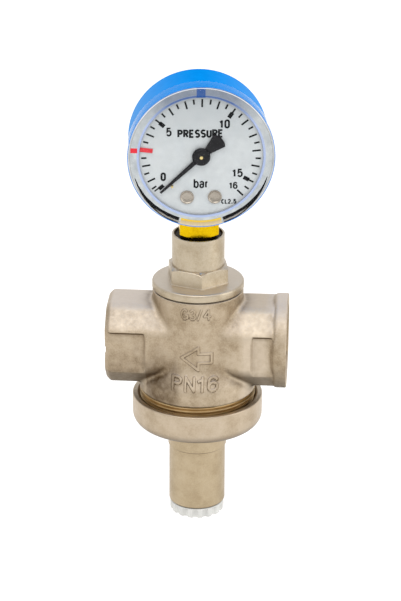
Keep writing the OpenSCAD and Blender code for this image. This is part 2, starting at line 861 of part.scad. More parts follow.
module tube_tip() {
    pin_r = 0.4;
    arm_r = 0.9;
    color([0.85, 0.7, 0.3]) on_gauge() {
        // The block soldered to the tube's end, and the arm that carries the link's pin
        translate([bourdon_r - 1.9, -2.2, -tube_half_w]) cube([3.4, 3.4, 2 * tube_half_w]);
        translate([tip_pin[0], tip_pin[1], 0]) {
            translate([-arm_r, -arm_r, 0]) cube([2.4, 2 * arm_r, 3]);
            disc(arm_r, 0, link_f - 0.3);
            disc(pin_r, link_f - 0.4, link_f + link_t + 0.3);
        }
    }
}

module hairspring() {
    turns = 3.5;
    inner = 1.35;
    outer = 4.4;
    half_t = 0.09;
    steps = 70;
    function coil(i, side) =
        let (t = i / steps, a = 360 * turns * t, r = inner + (outer - inner) * t + side)
        [r * cos(a), r * sin(a)];
    color([0.75, 0.6, 0.3]) on_gauge() translate([0, 0, hair_f]) linear_extrude(height = hair_h)
        polygon(concat([for (i = [0:steps]) coil(i, half_t)], [for (i = [steps:-1:0]) coil(i, -half_t)]));
}

valve_body();
seat_ring();
top_cover();
cover_o_ring();
spring_bonnet();
slip_ring();
diaphragm();
valve_stem();
balance_piston();
piston_o_ring();
seal_holder();
seat_seal();
seal_nut();
diaphragm_plate();
spring_seat();
diaphragm_nut();
regulating_spring();
thrust_washer();
adjusting_screw();
cap_seal();
adjuster_cap();
gauge_socket();
gauge_seal_washer();
gauge_case();
gauge_window();
gauge_dial();
set_marker();
zero_stop_pin();
dial_posts();
dial_screws();
movement_back_plate();
movement_front_plate();
movement_pillars();
movement_screws();
bourdon_tube();
tube_tip();
connecting_link();
sector_gear();
sector_arbor();
pointer_arbor();
hairspring();
gauge_pointer();
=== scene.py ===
"""Looks of a pressure reducing valve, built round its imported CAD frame.

Shapes are worked out in millimetres, about the valve's axis or about the gauge's centre, and are
placed in the frame in metres.
"""
import json
import math

import bmesh
import bpy
import numpy as np
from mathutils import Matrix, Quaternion, Vector


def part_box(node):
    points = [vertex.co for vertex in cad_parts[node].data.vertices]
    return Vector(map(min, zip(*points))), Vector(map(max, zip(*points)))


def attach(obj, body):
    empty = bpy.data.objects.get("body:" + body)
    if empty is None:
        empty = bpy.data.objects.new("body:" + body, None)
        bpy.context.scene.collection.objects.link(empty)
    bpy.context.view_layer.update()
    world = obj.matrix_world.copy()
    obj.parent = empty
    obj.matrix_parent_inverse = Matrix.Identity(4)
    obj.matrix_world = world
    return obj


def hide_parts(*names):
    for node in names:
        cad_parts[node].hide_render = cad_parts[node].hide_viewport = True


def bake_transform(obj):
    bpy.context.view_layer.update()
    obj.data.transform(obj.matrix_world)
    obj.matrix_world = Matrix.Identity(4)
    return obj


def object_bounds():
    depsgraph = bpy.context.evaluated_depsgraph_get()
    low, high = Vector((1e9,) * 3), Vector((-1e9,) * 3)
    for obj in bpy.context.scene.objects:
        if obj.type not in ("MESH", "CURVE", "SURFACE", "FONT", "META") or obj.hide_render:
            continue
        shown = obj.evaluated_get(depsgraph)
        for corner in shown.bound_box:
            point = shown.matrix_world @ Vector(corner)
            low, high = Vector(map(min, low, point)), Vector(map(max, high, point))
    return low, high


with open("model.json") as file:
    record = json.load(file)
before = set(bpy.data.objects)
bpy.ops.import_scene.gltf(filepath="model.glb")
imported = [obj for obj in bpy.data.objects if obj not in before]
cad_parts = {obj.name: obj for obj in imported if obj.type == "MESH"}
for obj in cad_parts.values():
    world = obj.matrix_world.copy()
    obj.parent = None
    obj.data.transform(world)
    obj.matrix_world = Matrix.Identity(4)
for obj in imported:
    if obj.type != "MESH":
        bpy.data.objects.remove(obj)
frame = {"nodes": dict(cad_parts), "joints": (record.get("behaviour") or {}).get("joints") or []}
SIZE_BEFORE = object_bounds()
NODES = frame["nodes"]
MM = 0.001

# The valve's upright axis, and the gauge's centre with its right, up and forward directions
seat_lo, seat_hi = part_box("seat_ring")
VALVE = np.array([(seat_lo.x + seat_hi.x) / 2, (seat_lo.y + seat_hi.y) / 2, 0.0])
pointer_joint = next(j for j in frame["joints"] if j["name"] == "pointer_turn")
GAUGE = np.array(pointer_joint["pos_m"], float)
FORWARD = -np.array(pointer_joint["axis"], float)
FORWARD /= np.linalg.norm(FORWARD)
UP = np.array([0.0, 0.0, 1.0])
GAUGE_AXES = np.array([np.cross(UP, FORWARD), UP, FORWARD])
GAUGE_TURN = math.atan2(GAUGE_AXES[0][1], GAUGE_AXES[0][0])


def on_valve(points):
    return np.asarray(points, float) * MM + VALVE


def on_gauge(points):
    return (np.asarray(points, float) * MM) @ GAUGE_AXES + GAUGE


# ---- meshes

def polar(radius, degrees):
    a = math.radians(degrees)
    return radius * math.cos(a), radius * math.sin(a)


def spun(points, angle):
    """Points of a plane turned round its origin."""
    c, s = math.cos(angle), math.sin(angle)
    return np.asarray(points, float) @ np.array([[c, s], [-s, c]])


def soft(points, segs=5, closed=True):
    """A profile with rounded corners. Each point is (r, z) or (r, z, corner radius)."""
    out = []
    n = len(points)
    for i, p in enumerate(points):
        radius = p[2] if len(p) > 2 else 0
        here = np.array(p[:2], float)
        if radius <= 0 or (not closed and i in (0, n - 1)):
            out.append(here)
            continue
        a = np.array(points[i - 1][:2], float) - here
        b = np.array(points[(i + 1) % n][:2], float) - here
        la, lb = np.linalg.norm(a), np.linalg.norm(b)
        a, b = a / la, b / lb
        half = math.acos(max(-1, min(1, float(a @ b)))) / 2
        cut = min(radius / math.tan(half), la * 0.49, lb * 0.49)
        radius = cut * math.tan(half)
        centre = here + (a + b) / np.linalg.norm(a + b) * radius / math.sin(half)
        s, e = here + a * cut - centre, here + b * cut - centre
        sweep = math.pi - 2 * half
        side = 1 if s[0] * e[1] - s[1] * e[0] > 0 else -1
        for k in range(segs + 1):
            t = side * sweep * k / segs
            c, d = math.cos(t), math.sin(t)
            out.append(centre + np.array([s[0] * c - s[1] * d, s[0] * d + s[1] * c]))
    return np.array(out)


def loft(rings, ring_closed=True, ends_joined=False):
    """A skin through rings of equal length."""
    rings = np.asarray(rings, float)
    m, n = rings.shape[:2]
    faces = []
    for i in range(m if ends_joined else m - 1):
        a, b = i * n, ((i + 1) % m) * n
        for k in range(n if ring_closed else n - 1):
            j = (k + 1) % n
            faces.append((a + k, a + j, b + j, b + k))
    return rings.reshape(-1, 3), faces


def capped(rings, first_reversed=False):
    """A skin through rings, closed by a face at each end."""
    v, f = loft(rings)
    n = len(rings[0])
    first = tuple(range(n))
    return v, f + [first[::-1] if first_reversed else first, tuple(len(v) - n + k for k in range(n))]


def lathe(profile, segs=144, closed=True):
    """A profile of (r, z) turned about Z."""
    profile = np.asarray(profile, float)
    a = np.arange(segs) * 2 * math.pi / segs
    rings = np.stack([np.outer(profile[:, 0], np.cos(a)), np.outer(profile[:, 0], np.sin(a)),
                      np.repeat(profile[:, 1][:, None], segs, 1)], -1)
    return loft(rings, True, closed)


def thread(crest, root, start, end, pitch, segs=120, steps=10, chamfer=0.0):
    """A helical thread's surface about Z, as an open skin between two heights."""
    turns = int(math.ceil((end - start) / pitch)) + 2
    n = turns * steps
    wave = 0.5 + 0.5 * np.clip(1.35 * np.cos(np.arange(steps) * 2 * math.pi / steps), -1, 1)
    rings = []
    for i in range(segs + 1):
        a = 2 * math.pi * i / segs
        j = np.arange(n)
        z = np.clip(start - pitch + (j / steps + i / segs) * pitch, start, end)
        r = root + (crest - root) * wave[j % steps]
        if chamfer:
            edge = np.minimum(z - start, end - z)
            limit = root + (crest - root) * np.clip(edge / chamfer, 0, 1)
            r = np.minimum(r, limit) if crest > root else np.maximum(r, limit)
        rings.append(np.stack([r * math.cos(a), r * math.sin(a), z], -1))
    return loft(rings, False, False)


def turned_to_x(shape):
    v, f = shape
    return v[:, [2, 0, 1]], f


def joined(*shapes):
    verts, faces, base = [], [], 0
    for v, f in shapes:
        verts.append(np.asarray(v, float))
        faces += [tuple(i + base for i in q) for q in f]
        base += len(v)
    return np.concatenate(verts), faces


def moved(shape, dx=0.0, dy=0.0, dz=0.0):
    return shape[0] + np.array([dx, dy, dz]), shape[1]


def outline(sides, half, corner, per_corner=6, per_side=8, turn=0.0):
    """Points round a regular polygon with rounded corners, and how far each is from the centre."""
    pts = []
    half_side = 180 / sides
    inner = (half - corner) / math.cos(math.radians(half_side))
    for s in range(sides):
        here, after = 360 * (s + 0.5) / sides, 360 * (s + 1.5) / sides
        for k in range(per_corner + 1):
            pts.append(np.add(polar(inner, here), polar(corner, here + half_side * (2 * k / per_corner - 1))))
        start = pts[-1]
        end = np.add(polar(inner, after), polar(corner, after - half_side))
        for k in range(1, per_side):
            pts.append(start + (end - start) * k / per_side)
    pts = spun(pts, turn)
    return pts, np.hypot(pts[:, 0], pts[:, 1])


def level(xy, z):
    return np.column_stack([xy, np.broadcast_to(z, len(xy))])


def mesh_of(name, shape, place=on_valve, sharp=32.0):
    verts, faces = shape
    mesh = bpy.data.meshes.new(name)
    mesh.from_pydata(place(verts).tolist(), [], faces)
    bm = bmesh.new()
    bm.from_mesh(mesh)
    bmesh.ops.remove_doubles(bm, verts=bm.verts, dist=2e-7)
    bmesh.ops.dissolve_degenerate(bm, edges=bm.edges, dist=1e-8)
    bmesh.ops.recalc_face_normals(bm, faces=bm.faces)
    bm.to_mesh(mesh)
    bm.free()
    mesh.shade_smooth()
    mesh.set_sharp_from_angle(angle=math.radians(sharp))
    return mesh


def placed(name, data):
    """A new object in the scene."""
    obj = bpy.data.objects.new(name, data)
    bpy.context.scene.collection.objects.link(obj)
    return obj


def piece(name, mesh, material, body, node=None):
    """An object that rides on a body and, where a CAD node is named, stands for it."""
    obj = placed(name, mesh)
    mesh.materials.clear()
    mesh.materials.append(material)
    if body:
        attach(obj, body)
    if node:
        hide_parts(node)
    return obj


def plate(name, loops, low, high, bevel, place):
    """A flat plate with bevelled edges, cut to closed loops of (x, y)."""
    curve = bpy.data.curves.new(name, "CURVE")
    curve.dimensions = "2D"
    curve.fill_mode = "BOTH"
    for loop in loops:
        spline = curve.splines.new("POLY")
        spline.points.add(len(loop) - 1)
        for p, (x, y) in zip(spline.points, loop):
            p.co = (x, y, 0, 1)
        spline.use_cyclic_u = True
    curve.extrude = (high - low) / 2 - bevel
    curve.bevel_depth = bevel
    curve.bevel_resolution = 2
    curve.offset = -bevel
    obj = placed(name, curve)
    bpy.context.view_layer.update()
    made = bpy.data.meshes.new_from_object(obj)
    bpy.data.objects.remove(obj)
    co = np.array([v.co for v in made.vertices], float).reshape(-1, 3)
    co[:, 2] += (high + low) / 2
    faces = [tuple(p.vertices) for p in made.polygons]
    bpy.data.meshes.remove(made)
    return mesh_of(name, (co, faces), place)


# ---- materials

class Shader:
    """A node material being put together round one Principled shader."""

    def __init__(self, name):
        self.material = bpy.data.materials.new(name)
        self.material.use_nodes = True
        self.tree = self.material.node_tree
        self.main = self.tree.nodes["Principled BSDF"]
        self.coords = self.add("TexCoord").outputs["Object"]

    def add(self, kind, inputs=(), **settings):
        """A node of a kind, with settings and with some of its inputs filled in."""
        node = self.tree.nodes.new("ShaderNode" + kind)
        for key, value in settings.items():
            setattr(node, key, value)
        self.fill(node, dict(inputs))
        return node

    def fill(self, node, inputs):
        """Links or sets inputs, given by name or number."""
        for key, value in inputs.items():
            if isinstance(value, bpy.types.NodeSocket):
                self.tree.links.new(value, node.inputs[key])
            elif value is not None:
                node.inputs[key].default_value = value

    def noise(self, size_mm, detail=3.0, rough=0.55, coords=None):
        return self.add("TexNoise", {"Scale": 1000.0 / size_mm, "Detail": detail, "Roughness": rough,
                                     "Vector": coords or self.coords}).outputs["Fac"]

    def ramp(self, fac, stops):
        node = self.add("ValToRGB", {"Fac": fac})
        band = node.color_ramp
        while len(band.elements) < len(stops):
            band.elements.new(0.5)
        for element, (at, colour) in zip(band.elements, stops):
            element.position = at
            element.color = (*colour, 1)
        return node.outputs["Color"]

    def span(self, fac, low, high, a=0.3, b=0.7):
        return self.add("MapRange", {"Value": fac, "From Min": a, "From Max": b, "To Min": low,
                                     "To Max": high}).outputs["Result"]

    def bump(self, height, depth_mm, strength=1.0, before=None):
        return self.add("Bump", {"Strength": strength, "Distance": depth_mm * MM, "Height": height,
                                 "Normal": before}).outputs["Normal"]

    def calc(self, kind, a, b=None, clamp=False):
        """One step of arithmetic on sockets or plain numbers."""
        return self.add("Math", {0: a, 1: b}, operation=kind, use_clamp=clamp).outputs[0]

    def between(self, value, low, high, blur):
        """1 where a value lies between two others, falling to 0 outside them."""
        rise = self.calc("DIVIDE", self.minus(value, low), blur, True)
        fall = self.calc("DIVIDE", self.minus(high, value), blur, True)
        return self.times(rise, fall)

    def over(self, below, share, colour):
        """A colour laid over another by a share."""
        mix = self.add("Mix", {0: share}, data_type="RGBA")
        slots = [k for k, socket in enumerate(mix.inputs) if socket.type == "RGBA"]
        self.fill(mix, {k: (*v, 1) if isinstance(v, tuple) else v for k, v in zip(slots, (below, colour))})
        return next(o for o in mix.outputs if o.type == "RGBA")

    def times(self, a, b, clamp=False):
        return self.calc("MULTIPLY", a, b, clamp)

    def minus(self, a, b):
        return self.calc("SUBTRACT", a, b)

    def vector(self, kind, a, b=None):
        """One step of arithmetic on a vector and, where one is given, a fixed second vector."""
        return self.add("VectorMath", {0: a, 1: None if b is None else tuple(b)}, operation=kind).outputs

    def split(self, vector):
        return self.add("SeparateXYZ", {0: vector}).outputs

    def geometry(self, what):
        return self.add("NewGeometry").outputs[what]

    def on_dial(self):
        """Distances to the right of and above the dial's centre, in millimetres."""
        shift = self.vector("SUBTRACT", self.coords, GAUGE)[0]
        return [self.vector("DOT_PRODUCT", shift, axis / MM)["Value"] for axis in GAUGE_AXES[:2]]

    def turned(self, centre):
        """Coordinates that are the same all round an upright axis: radius and height."""
        shift = self.vector("SUBTRACT", self.coords, centre)[0]
        flat = self.vector("MULTIPLY", shift, (1, 1, 0))[0]
        radius, height = self.vector("LENGTH", flat)["Value"], self.split(shift)["Z"]
        return self.add("CombineXYZ", {"X": radius, "Y": height}).outputs[0]

    def mottle(self, light, dark):
        return self.ramp(self.noise(2.4, 4.0), [(0.32, dark), (0.68, light)])

    def coat(self, colour, rough, normal, **values):
        """Gives the main shader its colour, roughness and relief, and returns the finished material."""
        self.fill(self.main, {"Base Color": colour, "Roughness": rough, "Normal": normal})
        self.fill(self.main, {key.replace("_", " "): value for key, value in values.items()})
        return self.material

    def even_coat(self, colour, rough, grain, depth, **values):
        relief = self.bump(self.noise(grain, 3.0), depth, 0.5)
        return self.coat(colour, self.span(self.noise(0.9, 2.0), *rough), relief, **values)


def cast_metal(name, light, mid, dark, rough=(0.36, 0.5), relief=1.0, painted_shade_tint=None, painted_top_light=None):
    """Plated casting: mottled and finely pitted, with painted top light on its upper faces, painted shade on
    its under faces and where it is enclosed, and a painted highlight on the inlet neck and its flat.
    """
    s = Shader(name)
    big, fine = s.noise(7.0, 4.0), s.noise(0.55, 4.0, 0.62)
    both = s.calc("ADD", s.times(fine, 0.35), s.times(big, 0.65))
    colour = s.ramp(both, [(0.36, dark), (0.5, mid), (0.64, light)])
    upward = s.split(s.geometry("Normal"))["Z"]
    # Painted top light: upper faces are painted paler
    if painted_top_light:
        top = s.calc("POWER", s.calc("MAXIMUM", upward, 0.0), 3.0)
        colour = s.over(colour, s.times(top, 0.95, True), painted_top_light)
    # Painted highlight: the inlet neck and its flat are painted paler
    if painted_shade_tint:
        across = s.times(s.minus(s.split(s.geometry("Position"))["X"], VALVE[0]), 1000.0)
        colour = s.over(colour, s.times(s.between(across, 15.5, 27.2, 2.5), 0.7), (0.64, 0.55, 0.435))
    # Painted shade: faces turned downward are painted darker
    painted_underside_shade = s.times(upward, -1.2, True)
    colour = s.over(colour, s.times(painted_underside_shade, 0.85), tuple(v * 0.3 for v in dark))
    # Painted shade where the casting is enclosed, from a per-point attribute
    if painted_shade_tint:
        painted_shade_amount = s.add("Attribute", attribute_name="painted_shade_amount").outputs["Fac"]
        uneven = s.span(s.noise(3.0, 4.0, 0.6), 0.55, 1.2)
        colour = s.over(colour, s.times(painted_shade_amount, uneven, True), painted_shade_tint)
    coarse = s.bump(s.noise(2.6, 3.0), 0.10 * relief, 0.5)
    pitted = s.bump(s.noise(0.42, 4.0, 0.65), 0.035 * relief, 0.75, coarse)
    return s.coat(colour, s.span(s.noise(1.6, 3.0), *rough), pitted, Metallic=1.0)


def turned_metal(name, light, dark, rough, centre=VALVE, line_mm=0.16, depth=0.006):
    """Metal with fine tool lines round an upright axis."""
    s = Shader(name)
    rings = s.noise(line_mm, 2.0, 0.6, s.turned(centre))
    colour = s.ramp(s.noise(6.0, 3.0), [(0.3, dark), (0.7, light)])
    relief = s.bump(rings, depth, 0.6, s.bump(s.noise(1.4, 2.0), 0.012, 0.5))
    return s.coat(colour, s.span(rings, *rough), relief, Metallic=1.0)


def plain_stuff(name, light, dark, rough, grain=0.3, depth=0.02, **values):
    s = Shader(name)
    return s.even_coat(s.mottle(light, dark), rough, grain, depth, **values)


# Where given, a casting's last two colours are its painted shade tint for enclosed spots and the painted top
# light on its upper faces
CAST = cast_metal("cast_nickel", (0.52, 0.435, 0.325), (0.46, 0.375, 0.268), (0.335, 0.26, 0.17),
                  (0.5, 0.66), 1.2, (0.10, 0.06, 0.028), (0.76, 0.69, 0.62))
TURNED = cast_metal("turned_nickel", (0.51, 0.44, 0.335), (0.46, 0.39, 0.285), (0.37, 0.30, 0.205),
                    (0.34, 0.46), 0.6, None, (0.66, 0.59, 0.50))
WARM = cast_metal("warm_nickel", (0.485, 0.395, 0.268), (0.44, 0.352, 0.23), (0.37, 0.288, 0.18),
                  (0.36, 0.5), 0.4)
WARM_RING = cast_metal("warm_nickel_ring", (0.51, 0.425, 0.32), (0.465, 0.38, 0.277), (0.39, 0.31, 0.215),
                       (0.36, 0.5), 0.45, None, (0.56, 0.48, 0.375))
BRIGHT_BRASS = cast_metal("bright_brass", (0.73, 0.485, 0.004), (0.62, 0.39, 0.003), (0.36, 0.20, 0.002),
                          (0.22, 0.36), 1.2)
BARE_BRASS = turned_metal("bare_brass", (0.50, 0.37, 0.21), (0.36, 0.255, 0.13), (0.3, 0.45))
OILY_BRASS = turned_metal("oily_brass", (0.58, 0.43, 0.235), (0.40, 0.285, 0.14), (0.3, 0.45))
# Near-black brass, painted shade for faces deep in gaps
PAINTED_SHADE_BRASS = turned_metal("painted_shade_brass", (0.02, 0.013, 0.005), (0.008, 0.005, 0.002), (0.4, 0.55))
INNER_BRASS = turned_metal("inner_brass", (0.70, 0.52, 0.22), (0.6, 0.43, 0.17), (0.25, 0.38))
CASE_INSIDE = turned_metal("case_inside", (0.82, 0.83, 0.85), (0.66, 0.67, 0.7), (0.16, 0.3), GAUGE, 0.3, 0.004)
SCREW = turned_metal("dial_screw_metal", (0.42, 0.36, 0.305), (0.31, 0.265, 0.22), (0.25, 0.42), GAUGE, 0.2,
                     0.004)
MOVEMENT_BRASS = plain_stuff("movement_brass", (0.74, 0.56, 0.24), (0.6, 0.44, 0.17), (0.22, 0.36),
                             0.25, 0.006, Metallic=1.0)
STEEL = plain_stuff("steel", (0.55, 0.55, 0.56), (0.44, 0.44, 0.45), (0.24, 0.38), 0.25, 0.006, Metallic=1.0)
SPRING_STEEL = plain_stuff("spring_steel", (0.36, 0.36, 0.38), (0.22, 0.22, 0.24), (0.28, 0.42), 0.4, 0.008,
                           Metallic=1.0)
RUBBER = plain_stuff("rubber", (0.028, 0.028, 0.03), (0.016, 0.016, 0.018), (0.55, 0.75), 0.2, 0.02)
WASHER_PLASTIC = plain_stuff("washer_plastic", (0.78, 0.75, 0.66), (0.68, 0.65, 0.56), (0.4, 0.55), 0.3, 0.01)
# Near-black washer colour, painted shade at the gauge socket's mouth
WASHER_PAINTED_SHADE = plain_stuff("washer_painted_shade", (0.05, 0.04, 0.035), (0.03, 0.024, 0.02), (0.6, 0.75))
WHITE = plain_stuff("white_plastic", (0.66, 0.66, 0.63), (0.57, 0.57, 0.545), (0.35, 0.5), 0.25, 0.03)
BLACK = plain_stuff("black_paint", (0.012, 0.010, 0.012), (0.007, 0.006, 0.007), (0.4, 0.55), 0.3, 0.01,
                    Specular_IOR_Level=0.25)
INK = plain_stuff("dial_ink", (0.008, 0.008, 0.009), (0.005, 0.005, 0.006), (0.5, 0.65), 0.2, 0.002,
                  Specular_IOR_Level=0.2)
RED = plain_stuff("red_mark", (0.72, 0.025, 0.04), (0.6, 0.016, 0.028), (0.35, 0.5), 0.3, 0.006)


def blue_paint():
    """Enamel, with a painted sheen that makes it paler where it turns to either side."""
    s = Shader("blue_paint")
    painted_side_sheen = s.split(s.geometry("Normal"))["X"]
    colour = s.mottle((0.002, 0.265, 0.79), (0.001, 0.235, 0.73))
    # Painted sheen on the sides
    colour = s.over(colour, s.times(s.times(painted_side_sheen, painted_side_sheen), 0.95, True), (0.13, 0.35, 0.74))
    return s.even_coat(colour, (0.34, 0.46), 0.8, 0.02, Specular_IOR_Level=0.0)


def dial_lacquer():
    """Off-white lacquer, greyer towards the top where the window's rim shades it."""
    s = Shader("dial_white")
    tall = s.on_dial()[1]
    colour = s.mottle((0.57, 0.575, 0.58), (0.52, 0.525, 0.53))
    colour = s.over(colour, s.calc("DIVIDE", s.minus(tall, 2.0), 20.0, True), (0.40, 0.41, 0.42))
    return s.even_coat(colour, (0.4, 0.52), 0.2, 0.004)


BLUE = blue_paint()
DIAL_WHITE = dial_lacquer()


def window_face():
    """Clear plastic that lets light straight through and reflects a little."""
    s = Shader("window_face")
    tint = s.ramp(s.noise(4.0, 2.0), [(0.3, (0.965, 0.98, 0.985)), (0.7, (0.985, 0.995, 0.995))])
    through = s.add("BsdfTransparent", {"Color": tint})
    shine = s.add("BsdfGlossy", {"Roughness": s.span(s.noise(3.0, 3.0), 0.01, 0.04),
                                 "Normal": s.bump(s.noise(5.0, 2.0), 0.02, 0.3)})
    edge = s.times(s.add("Fresnel", {"IOR": 1.08}).outputs[0], s.minus(1.0, s.geometry("Backfacing")))
    both = s.add("MixShader", {0: edge, 1: through.outputs[0], 2: shine.outputs[0]})
    s.fill(s.tree.nodes["Material Output"], {"Surface": both.outputs[0]})
    s.tree.nodes.remove(s.main)
    return s.material


def painted_rim_view():
    """Painted view through the window's thick rim, with refractions and a glint painted on: dull silver, black
    and brass low down, blue at the top.
    """
    s = Shader("painted_rim_view")
    across, tall = s.on_dial()
    radius = s.calc("SQRT", s.calc("ADD", s.times(across, across), s.times(tall, tall)))
    wavy = s.calc("ADD", radius, s.times(s.minus(s.noise(1.6, 3.0), 0.5), 0.35))
    # Angles from the rim's lowest and from its highest point, in radians
    low = s.calc("ARCTAN2", s.calc("ABSOLUTE", across), s.times(tall, -1.0))
    high = s.minus(math.pi, low)
    upper = s.between(high, -1.0, 1.0, 0.5)
    band = s.between(radius, 20, 22.7, 0.25)
    # Painted dark crescents of refracted shade, thicker towards the bottom
    reach = s.calc("DIVIDE", s.minus(1.27, low), 0.8, True)
    outer = s.calc("ADD", 24.5, s.times(reach, 1.25))
    inner = s.minus(24.25, s.times(reach, 0.75))
    share = s.calc("DIVIDE", s.minus(wavy, inner), s.minus(outer, inner))
    painted_crescent = s.times(s.between(share, 0, 1, 0.06), s.between(low, 0.315, 1.27, 0.02))
    hollow = s.times(s.between(share, 0.5, 0.82, 0.08), s.between(low, 0, 0.72, 0.12))
    # Painted refraction of the socket's brass
    foot = s.times(s.between(low, -1, 0.305, 0.01), s.between(radius, 23.55, 25.75, 0.05))
    brass = s.ramp(s.span(radius, 0, 1, 23.5, 25.8), [
        (0.0, (0.14, 0.08, 0.01)), (0.1, (0.85, 0.56, 0.03)), (0.3, (0.62, 0.42, 0.12)),
        (0.45, (0.56, 0.42, 0.24)), (1.0, (0.62, 0.52, 0.36))])
    patch = s.times(s.between(across, -1.9, 1.5, 0.3), s.between(high, -1, 0.5, 0.1))
    painted_glint = s.times(s.between(radius, 25.1, 25.45, 0.1), s.between(high, -1, 1.2, 0.3))
    slanted = s.minus(tall, s.times(across, -0.102))
    red = s.times(s.between(slanted, -0.65, 1.25, 0.1), s.between(across, -24.8, -22.3, 0.1))
    colour = s.ramp(s.noise(3.5, 3.0, 0.6), [(0.3, (0.40, 0.41, 0.425)), (0.7, (0.56, 0.565, 0.565))])
    for cover, tint in (
            # Painted shade over the rim's top, and a grey line at its outer edge
            (s.times(upper, 0.75), (0.14, 0.165, 0.23)),
            (s.between(wavy, 24.9, 25.2, 0.12), (0.30, 0.29, 0.28)),
            # Inner band, painted as seen through the rim
            (band, (0.40, 0.46, 0.66)),
            (s.times(band, upper), (0.085, 0.135, 0.30)),
            (s.between(radius, 20, 21.9, 0.08), (0.26, 0.30, 0.44)),
            # Painted crescents, with the hollow left brown, and the painted brass between them
            (painted_crescent, (0.30, 0.27, 0.245)),
            (s.times(painted_crescent, s.minus(1.0, hollow)), (0.002, 0.002, 0.003)),
            (foot, brass),
            # Painted refraction of the case's blue at the very top and round the outside, a painted glint, and
            # the red mark seen through the rim
            (s.times(patch, 0.85), (0.012, 0.07, 0.27)),
            (s.between(radius, 25.6, 27, 0.1), (0.045, 0.23, 0.68)),
            (s.times(painted_glint, 0.85), (0.84, 0.87, 0.95)),
            (red, (0.70, 0.03, 0.045))):
        colour = s.over(colour, cover, tint)
    return s.coat(colour, s.span(s.noise(2.0, 2.0), 0.2, 0.32), s.bump(s.noise(0.6, 2.0), 0.02, 0.3),
                  Specular_IOR_Level=0.15)


WINDOW_FACE = window_face()
PAINTED_RIM_VIEW = painted_rim_view()


# ---- cast body

def smin(a, b, k):
    h = np.clip(0.5 + 0.5 * (b - a) / k, 0, 1)
    return b * (1 - h) + a * h - k * h * (1 - h)


def smax(a, b, k):
    return -smin(-a, -b, k)


def ease(t):
    t = np.clip(t, 0, 1)
    return t * t * (3 - 2 * t)


def stroke_distance(u, v, lines):
    """Distance in the plane from points to a set of polylines."""
    best = np.full(u.shape, 1e3)
    for line in lines:
        for (ax, ay), (bx, by) in zip(line[:-1], line[1:]):
            dx, dy = bx - ax, by - ay
            t = np.clip(((u - ax) * dx + (v - ay) * dy) / (dx * dx + dy * dy + 1e-12), 0, 1)
            best = np.minimum(best, np.hypot(u - ax - t * dx, v - ay - t * dy))
    return best


def bow(cx, cy, rx, ry, start, end, steps=12):
    return [(cx + rx * math.cos(a), cy + ry * math.sin(a))
            for a in np.radians(np.linspace(start, end, steps + 1))]


# Strokes of each character in a box one unit wide and one high
BOWL = [(0, 0), (0, 1), (0.5, 1)] + bow(0.5, 0.75, 0.5, 0.25, 90, -90)[1:] + [(0, 0.5)]
GLYPHS = {
    "/": [[(0, 0), (1, 1)]],
    ".": [[(-0.3, 0), (1.3, 0)]],
    "1": [[(0.7, 1), (0.7, 0)], [(0, 0.74), (0.7, 0.86)]],
    "2": [bow(0.5, 0.7, 0.5, 0.3, 165, -35) + [(0, 0), (1, 0)]],
    "3": [bow(0.45, 0.74, 0.5, 0.26, 150, -80), bow(0.45, 0.26, 0.55, 0.26, 80, -150)],
    "4": [[(0.75, 0), (0.75, 1), (0, 0.3), (1, 0.3)]],
    "5": [[(0.92, 1), (0.14, 1), (0.05, 0.5)] + bow(0.5, 0.33, 0.5, 0.33, 128, -155, 14)],
    "6": [bow(0.5, 0.31, 0.5, 0.31, 180, 540, 20), [(0, 0.31)] + bow(0.5, 0.7, 0.5, 0.3, 180, 25, 9)],
    "C": [bow(0.5, 0.5, 0.5, 0.5, 48, 312, 18)],
    "E": [[(1, 1), (0, 1), (0, 0), (1, 0)], [(0, 0.5), (0.85, 0.5)]],
    "G": [bow(0.5, 0.5, 0.5, 0.5, 50, 340, 18), [(0.55, 0.45), (1, 0.45), (1, 0.1)]],
    "L": [[(0, 1), (0, 0), (1, 0)]],
    "N": [[(0, 0), (0, 1), (1, 0), (1, 1)]],
    "P": [BOWL],
    "R": [BOWL, [(0.5, 0.5), (1, 0)]],
    "S": [bow(0.5, 0.75, 0.5, 0.25, 30, 270) + bow(0.5, 0.25, 0.5, 0.25, 90, -150)[1:]],
    "U": [[(0, 1)] + bow(0.5, 0.28, 0.5, 0.28, 180, 360) + [(1, 1)]],
    "a": [bow(0.45, 0.5, 0.45, 0.2, 160, 0, 8) + [(0.85, 0)], bow(0.4, 0.2, 0.4, 0.2, 40, 320, 14)],
    "b": [[(0, 1), (0, 0)], bow(0.5, 0.35, 0.5, 0.35, 0, 360, 18)],
    "r": [[(0, 0.7), (0, 0)], bow(0.9, 0.4, 0.9, 0.27, 175, 90, 6)],
}


def mark(kind, x, y, w, h):
    """Strokes of one character in a box with its lower left corner at (x, y)."""
    if kind == "0":
        end = w / h / 2  # so that the ends stay round in a narrow box
        strokes = [bow(0.5, 1 - end, 0.5, end, 0, 180, 10) + bow(0.5, end, 0.5, end, 180, 360, 10)
                   + [(1, 1 - end)]]
    else:
        strokes = GLYPHS[kind]
    return [[(x + w * u, y + h * v) for u, v in stroke] for stroke in strokes]


def written(text, x, y, widths, height, gap):
    """Strokes of a row of characters centred on (x, y)."""
    strokes = []
    at = x - (sum(widths) + gap * (len(text) - 1)) / 2
    for kind, width in zip(text, widths):
        strokes += mark(kind, at, y - height / 2, width, height)
        at += width + gap
    return strokes


ARROW = [[(-4.7, -1.1), (1.4, 3.2), (1.4, 0.7), (6.1, 0.7), (6.1, -2.9), (1.4, -2.9), (1.4, -5.4),
          (-4.7, -1.1)]]
SIZE_MARK = written("G3/4", 0.4, 16.05, (2.2, 1.7, 1.2, 2.2), 3.6, 1.0)
RATING_MARK = written("PN16", 0.3, -10.15, (3.0, 3.1, 1.9, 3.0), 4.2, 1.7)


